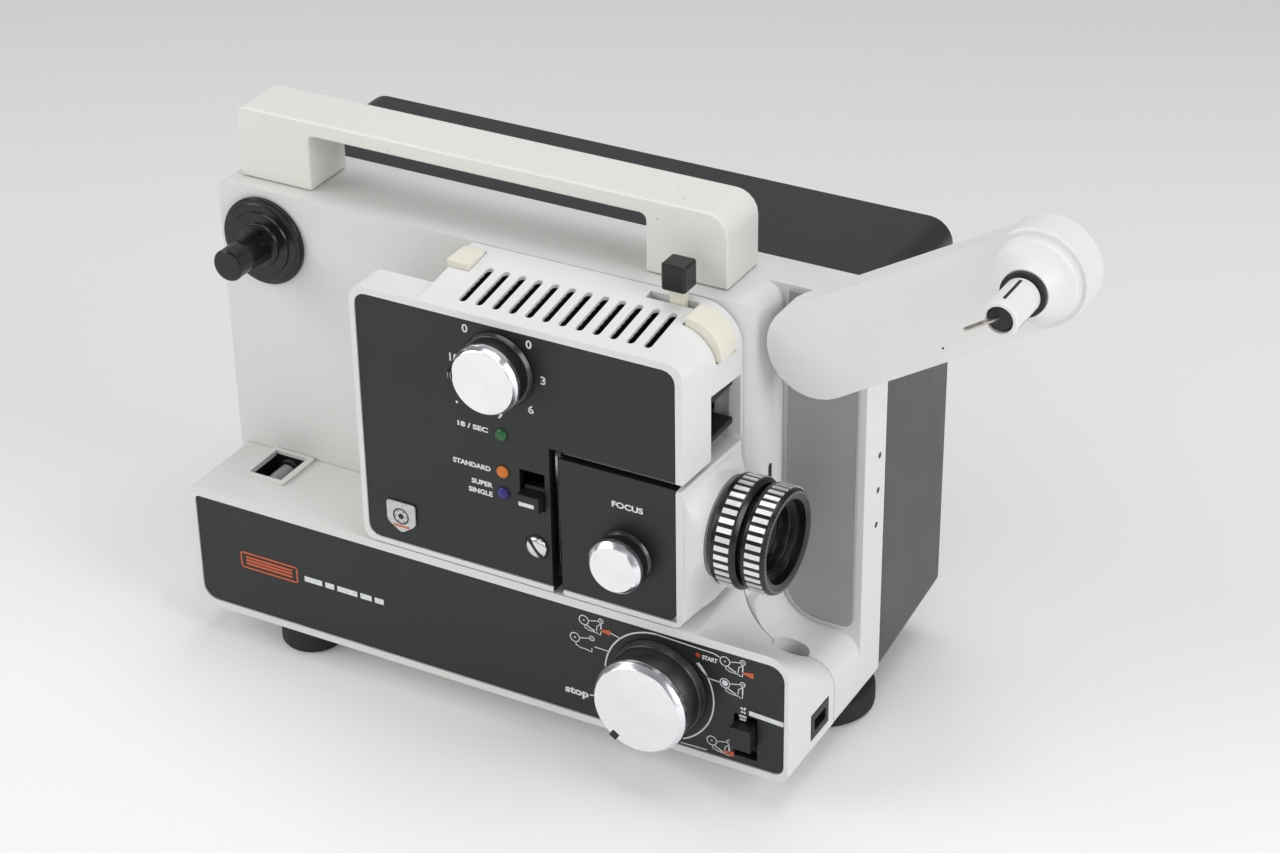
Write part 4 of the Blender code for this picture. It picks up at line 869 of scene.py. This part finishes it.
def build_screw():
    """Domed slotted screw, with painted shade as a dark bar for its slot and a black ring for its
    counterbore.
    """
    head = [(0, -1.55), (1.6, -1.48), (3.0, -1.25), (3.9, -0.85), (4.25, -0.4), (4.3, 1.2), (0, 1.2)]
    screw = turned("cover_screw_head", "Y", SCREW, head, SCREW_STEEL, "chassis", 96, None, 50)
    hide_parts("cover_screw")
    # painted shade: a dark bar on the head stands for the shade inside its slot
    points, faces = radial_fin(SCREW, math.radians(-52), -4.05, 4.05, 0.62, -1.57, -0.9)
    new_piece("cover_screw_slot_shade", points, faces, DARK_INK_AND_HOLE_SHADE, "chassis", False)
    # painted shade: a black ring round the head stands for the shade in the counterbore
    seat = [(4.35, 0.9), (4.95, 0.9), (4.95, 1.5), (4.35, 1.5)]
    turned("cover_screw_seat_shade", "Y", SCREW, seat, BLACK, "chassis", 64)


def build_small_details():
    # painted shade: dark discs on the white strip stand for the shade inside its three small holes
    dimple = [(0, 254.74), (1.2, 254.74), (1.25, 254.66), (0, 254.66)]
    for k, (y, z) in enumerate(((72.0, 97.8), (71.4, 83.6), (70.7, 69.4))):
        turned(f"strip_dimple_shade_{k}", "X", (y, z), dimple, DARK_INK_AND_HOLE_SHADE, "chassis", 24)
    # painted shade: a dark outline on the column stands for the shade inside its slit
    ends = arc((49.4, 3.6), 1.0, 0, 180, 8) + arc((49.4, -3.6), 1.0, 180, 360, 8)
    outline = [(y, 93.0 + z) for y, z in ends]
    count = len(outline)
    points = [(x, y, z) for x in (222.44, 222.6) for y, z in outline]
    faces = [tuple(range(count)), tuple(reversed(range(count, 2 * count)))]
    faces += [(k, (k + 1) % count, (k + 1) % count + count, k + count) for k in range(count)]
    new_piece("column_slit_shade", points, faces, DARK_INK_AND_HOLE_SHADE, "chassis", False)
    build_screw()
    build_film_exit()
    build_grille_shade_sheet()


# ---- studio ----------------------------------------------------------------------------------------------

FLOOR_LIT_FRONT, FLOOR_SHADED_BACK = 0.90, 0.52  # painted light and shade of the paper: its colour before and behind the projector


def build_floor():
    """Pale sweep: a flat floor that curves up far behind the projector."""
    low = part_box("front_foot")[0].z
    back, radius, top = 1.6, 1.2, 4.0
    profile = [(-3.0, 0.0), (back, 0.0)]
    profile += [(back + radius * math.sin(math.radians(a)), radius - radius * math.cos(math.radians(a)))
                for a in range(6, 91, 6)]
    profile.append((back + radius, top))
    mesh = bpy.data.meshes.new("studio_sweep")
    points = [(x, y, low + z) for x in (-5.0, 5.0) for y, z in profile]
    count = len(profile)
    mesh.from_pydata(points, [], [(k, k + 1, k + 1 + count, k + count) for k in range(count - 1)])
    mesh.shade_smooth()
    nodes = Nodes("studio_paper")
    cloud = nodes.noise(1.6, 3.0)
    # painted light and shade: the paper's colour darkens towards the back, and it glows faintly though it is
    # no lamp
    depth = nodes.add("ShaderNodeSeparateXYZ", {"Vector": nodes.coordinates}).outputs["Y"]
    back_shade = nodes.ramp(depth, -0.35, 1.1)
    front = nodes.mix(nodes.ramp(cloud, 0.3, 0.7), (FLOOR_LIT_FRONT, FLOOR_LIT_FRONT, FLOOR_LIT_FRONT * 0.985),
                      (FLOOR_LIT_FRONT * 0.98,) * 3)
    nodes.set(Base_Color=nodes.mix(back_shade, front, (FLOOR_SHADED_BACK, FLOOR_SHADED_BACK, FLOOR_SHADED_BACK)),
              Roughness=0.85, Specular_IOR_Level=0.2, Emission_Color=(1.0, 1.0, 1.0), Emission_Strength=0.06)
    mesh.materials.append(nodes.material)
    floor = bpy.data.objects.new("studio_sweep", mesh)
    floor.rotation_euler = (0, 0, math.radians(29))
    bpy.context.scene.collection.objects.link(floor)


def area_light(name, place, target, size, power, colour):
    light = bpy.data.lights.new(name, "AREA")
    light.shape = "RECTANGLE"
    light.size, light.size_y = size
    light.energy = power
    light.color = colour
    item = bpy.data.objects.new(name, light)
    item.location = place
    item.rotation_euler = (Vector(target) - Vector(place)).to_track_quat("-Z", "Y").to_euler()
    bpy.context.scene.collection.objects.link(item)


WORLD_STRENGTH = 0.21
LIGHTS = {  # place, size, watts, colour
    "left": ((-1.5, -1.1, 1.1), (1.4, 1.4), 20, (1.0, 0.99, 0.97)),
    "front": ((0.3, -1.9, 1.0), (1.6, 1.2), 6.8, (1.0, 0.99, 0.97)),
    "right": ((1.9, -0.3, 0.9), (1.2, 1.4), 23, (0.97, 0.98, 1.0)),
    "top": ((0.1, 0.3, 1.9), (1.6, 1.2), 17.5, (0.97, 0.98, 1.0)),
}


def build_lights():
    world = bpy.data.worlds.new("studio")
    bpy.context.scene.world = world
    world.use_nodes = True
    world.node_tree.nodes["Background"].inputs["Color"].default_value = (0.92, 0.95, 1.0, 1.0)
    world.node_tree.nodes["Background"].inputs["Strength"].default_value = WORLD_STRENGTH
    for name, (place, size, power, colour) in LIGHTS.items():
        area_light(name, place, (0.03, 0, 0.09), size, power, colour)
    bpy.context.scene.view_settings.view_transform = "Standard"


def build_camera():
    azimuth, elevation, roll = math.radians(29.11), math.radians(30.22), math.radians(-0.83)
    distance = 1.0631
    aim = spot(175.1, 40.0, 104.8)
    away = Vector((math.cos(elevation) * math.sin(azimuth), -math.cos(elevation) * math.cos(azimuth),
                   math.sin(elevation)))
    camera = bpy.data.cameras.new("camera")
    camera.lens, camera.sensor_width = 83.65, 36.0
    camera.clip_start, camera.clip_end = 0.05, 50.0
    item = bpy.data.objects.new("camera", camera)
    item.location = aim + away * distance
    facing = (-away).to_track_quat("-Z", "Y").to_matrix()
    item.rotation_euler = (facing @ Matrix.Rotation(roll, 3, "Z")).to_euler()
    bpy.context.scene.collection.objects.link(item)
    bpy.context.scene.camera = item


dress_cad()
build_knobs()
build_lens()
build_lens_flare()
build_take_up()
build_feed_spindle()
build_tilt_wheel()
build_indicators()
build_base_legend()
build_cover_legend()
build_small_details()
build_floor()
build_lights()
build_camera()
